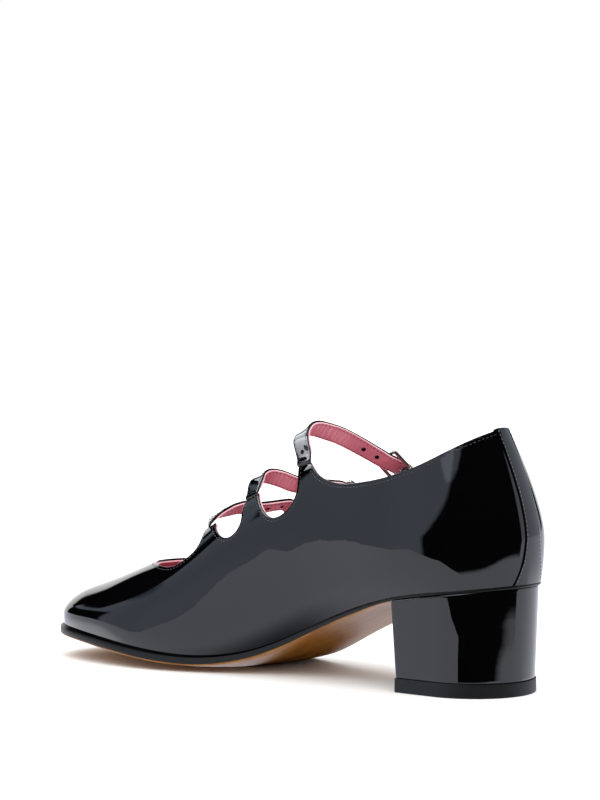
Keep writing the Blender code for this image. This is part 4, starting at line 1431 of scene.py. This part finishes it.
# %% Floor
FLOOR_SIDE = 3000.0  # mm each way from the shoe
paper, tree, shader, here = finish("matt_paper_sweep", Roughness=0.9, Specular_IOR_Level=0.0)
pulp = add(tree, "ShaderNodeTexNoise", {"Vector": here}, Scale=per_mm(60), Detail=1.0)
tone = add(tree, "ShaderNodeValToRGB", {"Fac": pulp.outputs[0]})
for stop, text in zip(tone.color_ramp.elements, ("#f4f4f3", "#f6f6f5")):
    stop.color = colour(text)
tree.links.new(tone.outputs[0], shader.inputs["Base Color"])
corners = CENTRE + FLOOR_SIDE * np.array([[-1, -1, 0], [1, -1, 0], [1, 1, 0], [-1, 1, 0]])
floor = make_mesh("floor", corners, [[[0, 1, 2, 3]]], [paper])
floor.visible_glossy = False
print("floor:", floor.name)

# %% [markdown]
# ## The camera
#
# A long lens 1.1 m away keeps the straps parallel, as a catalogue picture does. It
# looks at the inner side of the shoe from a little in front of the heel's side,
# two degrees downwards. The camera's own axes are worked out as three unit
# vectors, the columns of its rotation: right, up, and backwards.

# %% Camera
YAW, PITCH, AWAY = math.radians(38.0), math.radians(2.01), 1100.0
towards = np.array([-math.sin(YAW), math.cos(YAW), 0.0])  # from the shoe to the camera
right = np.array([-math.cos(YAW), -math.sin(YAW), 0.0])
ahead = -math.cos(PITCH) * towards - np.array([0.0, 0.0, math.sin(PITCH)])
stands = np.array([119.3, 0.0, 155.5]) + AWAY * towards
axes = np.stack([right, np.cross(right, ahead), -ahead], axis=1)
camera = linked("camera", bpy.data.cameras.new("camera"))
camera.matrix_world = Matrix.Translation(metres(stands)) @ Matrix(axes.tolist()).to_4x4()
camera.data.lens, camera.data.sensor_fit, camera.data.sensor_height = 115.2, "VERTICAL", 36
bpy.context.scene.camera = camera
print("camera at, mm:", stands.round().tolist())

# %% [markdown]
# ## The studio
#
# Patent leather shows little but what stands round it, so the room is designed as
# its reflection. Area lights could do it, but painting the room on the world, by
# direction, gives each edge its own softness and no noise. Round the camera the
# room is dark, which is what makes the leather black. A wide soft box stands on
# the left and a smaller one on the right, the wall behind is white, and the table
# is bright apart from the shade close to the shoe. Matt surfaces see even white
# light instead, as under a tent, and the camera sees a white wall.

# %% Studio
studio = bpy.data.worlds.new("studio")
studio.use_nodes = True
bpy.context.scene.world = studio
tree = studio.node_tree
ray = tree.nodes.new("ShaderNodeTexCoord").outputs["Generated"]  # in a world, the direction
turned = add(tree, "ShaderNodeVectorRotate", {"Vector": ray}, rotation_type="Z_AXIS",
             Angle=-math.atan2(towards[1], towards[0]))
axis = add(tree, "ShaderNodeSeparateXYZ", {"Vector": turned.outputs[0]}).outputs


def reckon(operation, *terms):
    """A Math node of sockets or numbers."""
    node = tree.nodes.new("ShaderNodeMath")
    node.operation = operation
    for socket, term in zip(node.inputs, terms):
        if isinstance(term, (int, float)):
            socket.default_value = term
        else:
            tree.links.new(term, socket)
    return node.outputs[0]


# degrees round from the camera, + to the picture's right, and degrees above the horizon
around = reckon("DEGREES", reckon("ARCTAN2", axis["Y"], axis["X"]))
above = reckon("DEGREES", reckon("ARCSINE", axis["Z"]))


def ramp(angle, low, high, first=0.0, last=1.0):
    """From `first` at the angle low to `last` at high, smoothly."""
    return add(tree, "ShaderNodeMapRange", {"Value": angle}, interpolation_type="SMOOTHSTEP",
               From_Min=low, From_Max=high, To_Min=first, To_Max=last).outputs[0]


def panel(angle, west, east, low, high, soft=1.5, lean=0.0):
    """1 inside a rectangle of directions and 0 outside, with edges `soft` degrees to
    each side: the product of four ramps. The east edge leans outwards by `lean` degrees
    for each degree above the horizon."""
    leaned = reckon("MULTIPLY_ADD", reckon("MAXIMUM", above, 0.0), -lean, angle)
    sides = reckon("MULTIPLY", ramp(angle, west - soft, west + soft),
                   ramp(leaned, east + soft, east - soft))
    ends = reckon("MULTIPLY", ramp(above, low - soft, low + soft),
                  ramp(above, high + soft, high - soft))
    return reckon("MULTIPLY", sides, ends)


def light(total, shape, text, strength):
    """Adds a light to the room: total + shape * colour * strength."""
    node = add(tree, "ShaderNodeVectorMath", {0: shape}, operation="MULTIPLY_ADD")
    node.inputs[1].default_value = [strength * part for part in colour(text)[:3]]
    if total is not None:
        tree.links.new(total, node.inputs[2])
    return node.outputs[0]


behind = reckon("ABSOLUTE", around)
fading = ramp(around, -90, -64, 0.95, 1.2)  # the wide soft box is dimmer far off
box = reckon("MULTIPLY", fading, panel(around, -98, -61, -30, 36, lean=0.9))
room = light(None, box, "#e0ecff", 1.0)
for angle, west, east, low, high, lean, text, strength in (
        (around, -112, -98, 22.5, 36, 0, "#dce9ff", 0.95),  # its raised far end
        (around, -137, -112, 23, 27.5, 0, "#dce9ff", 0.8),  # and a strip beyond that
        (around, -76, -61, 36, 48, 0.9, "#e4eeff", 1.2),  # its taller near end
        (around, -40, -75, 27, 48, 1.4, "#e4eeff", 1.1),  # and that end's slanted corner
        (around, -112, -45, 50, 78, 0, "#eef4ff", 5.0),  # a key lamp above it
        (around, 80, 138, -2, 34, 0, "#e6efff", 1.15),  # the smaller box
        (behind, 147, 400, -2, 22, 0, "#ffffff", 1.6),  # the white wall
        (around, -147, -137, -2, 20, 0, "#ffffff", 1.6)):  # a little more of it
    room = light(room, panel(angle, west, east, low, high, lean=lean), text, strength)
room = light(room, ramp(above, 60, 66), "#f2f6ff", 0.9)  # an overhead box

# %% The table, and who sees what
# the table is bright far off, dim under the shoe, and its edge towards the camera falls
# to 25 degrees below the horizon on the left and 10 on the right
near = reckon("MULTIPLY", ramp(around, -104, -61), ramp(around, 84, 76))
rim = reckon("MULTIPLY_ADD", ramp(around, -50, 75), -15.0, 25.0)
ends_at = ramp(reckon("MULTIPLY_ADD", near, rim, above), 1.0, -1.5)
shade = ramp(above, -86, -38, 0.15, 1.5)
room = add(tree, "ShaderNodeVectorMath",
           {0: room, 3: reckon("SUBTRACT", 1.0, ends_at)}, operation="SCALE").outputs[0]
room = light(room, reckon("MULTIPLY", ends_at, shade), "#eef2ff", 1.1)
room = light(room, panel(behind, 100, 145, -32, -14, 6), "#ffffff", 1.0)

path = tree.nodes.new("ShaderNodeLightPath").outputs
mirrored = add(tree, "ShaderNodeBackground", {"Color": room})
dome = reckon("MULTIPLY_ADD", reckon("MAXIMUM", axis["Z"], 0.0), 2.7, 0.1)
tent = add(tree, "ShaderNodeBackground", {"Strength": dome}, Color=(1, 1, 1, 1))
wall = add(tree, "ShaderNodeBackground", Color=(1, 1, 1, 1))
lit = add(tree, "ShaderNodeMixShader",
          {0: path["Is Glossy Ray"], 1: tent.outputs[0], 2: mirrored.outputs[0]})
seen = add(tree, "ShaderNodeMixShader",
           {0: path["Is Camera Ray"], 1: lit.outputs[0], 2: wall.outputs[0]})
tree.links.new(seen.outputs[0], tree.nodes["World Output"].inputs["Surface"])
bpy.context.scene.view_settings.view_transform = "Standard"
print("studio:", len(tree.nodes), "nodes")

# %% [markdown]
# Cards stand close by, as they do in a real studio, and show in reflections only.
# A low one along the inner side keeps the dark of the room off the vamp: its top
# edge is cut to the line where the leather turns from slate to grey. Two light the
# outer faces of the straps, brightest at their tops. A black one lies under the
# forefoot, since the shoe's own shadow is what the sole mirrors there.

# %% Cards


def card(name, corners, text, foot, top):
    """A sheet with the given corners that glows evenly along the level, from strength
    `foot` at its lowest corner to `top` at its highest."""
    heights = metres(corners)[:, 2]
    glow, tree, shader, here = finish(
        f"{name}_light", Base_Color=(0, 0, 0, 1), Roughness=1.0, Specular_IOR_Level=0.0,
        Emission_Color=colour(text))
    height = add(tree, "ShaderNodeSeparateXYZ", {"Vector": here}).outputs["Z"]
    power = add(tree, "ShaderNodeMapRange", {"Value": height}, From_Min=heights.min(),
                From_Max=heights.max() + 1e-6, To_Min=foot, To_Max=top)
    tree.links.new(power.outputs[0], shader.inputs["Emission Strength"])
    made = make_mesh(name, corners, [[list(range(len(corners)))]], [glow])
    made.visible_camera = made.visible_diffuse = made.visible_shadow = False


card("side_card", [(x, 105, z) for x, z in (
    (8, -30), (8, 10), (30, 20), (45, 31), (60, 35), (83, 47), (108, 46), (150, 52),
    (163, 57), (173, 65), (182, 72), (179, 58), (175, 44), (179, 35), (193, 24),
    (207, 10), (218, 0), (260, -10), (300, -30))], "#eef2ff", 1.65, 1.65)
card("collar_card", [(x, 30, z) for x, z in (
    (116, 96.2), (124, 96.2), (125, 102), (129, 107), (129, 113), (102, 113), (102, 103),
    (116, 101))], "#f4f7ff", 5.5, 16.0)
turn, away, half = math.radians(-118), 134, 65  # the strap card's place and half width
level = math.cos(turn) * right - math.sin(turn) * towards
middle = np.array([105, 15, 0]) + away * (math.sin(turn) * right + math.cos(turn) * towards)
card("strap_card", [middle + side * half * level + [0, 0, z] for side, z in
                    ((-1, 149), (1, 149), (1, 213), (-1, 213))], "#f4f7ff", 4.0, 12.0)
card("sole_card", [(105, -38, -0.1), (200, -36, -0.1), (232, -14, -0.1), (232, 5, -0.1),
                   (105, 5, -0.1)], "#000000", 0.0, 0.0)
print("four cards")
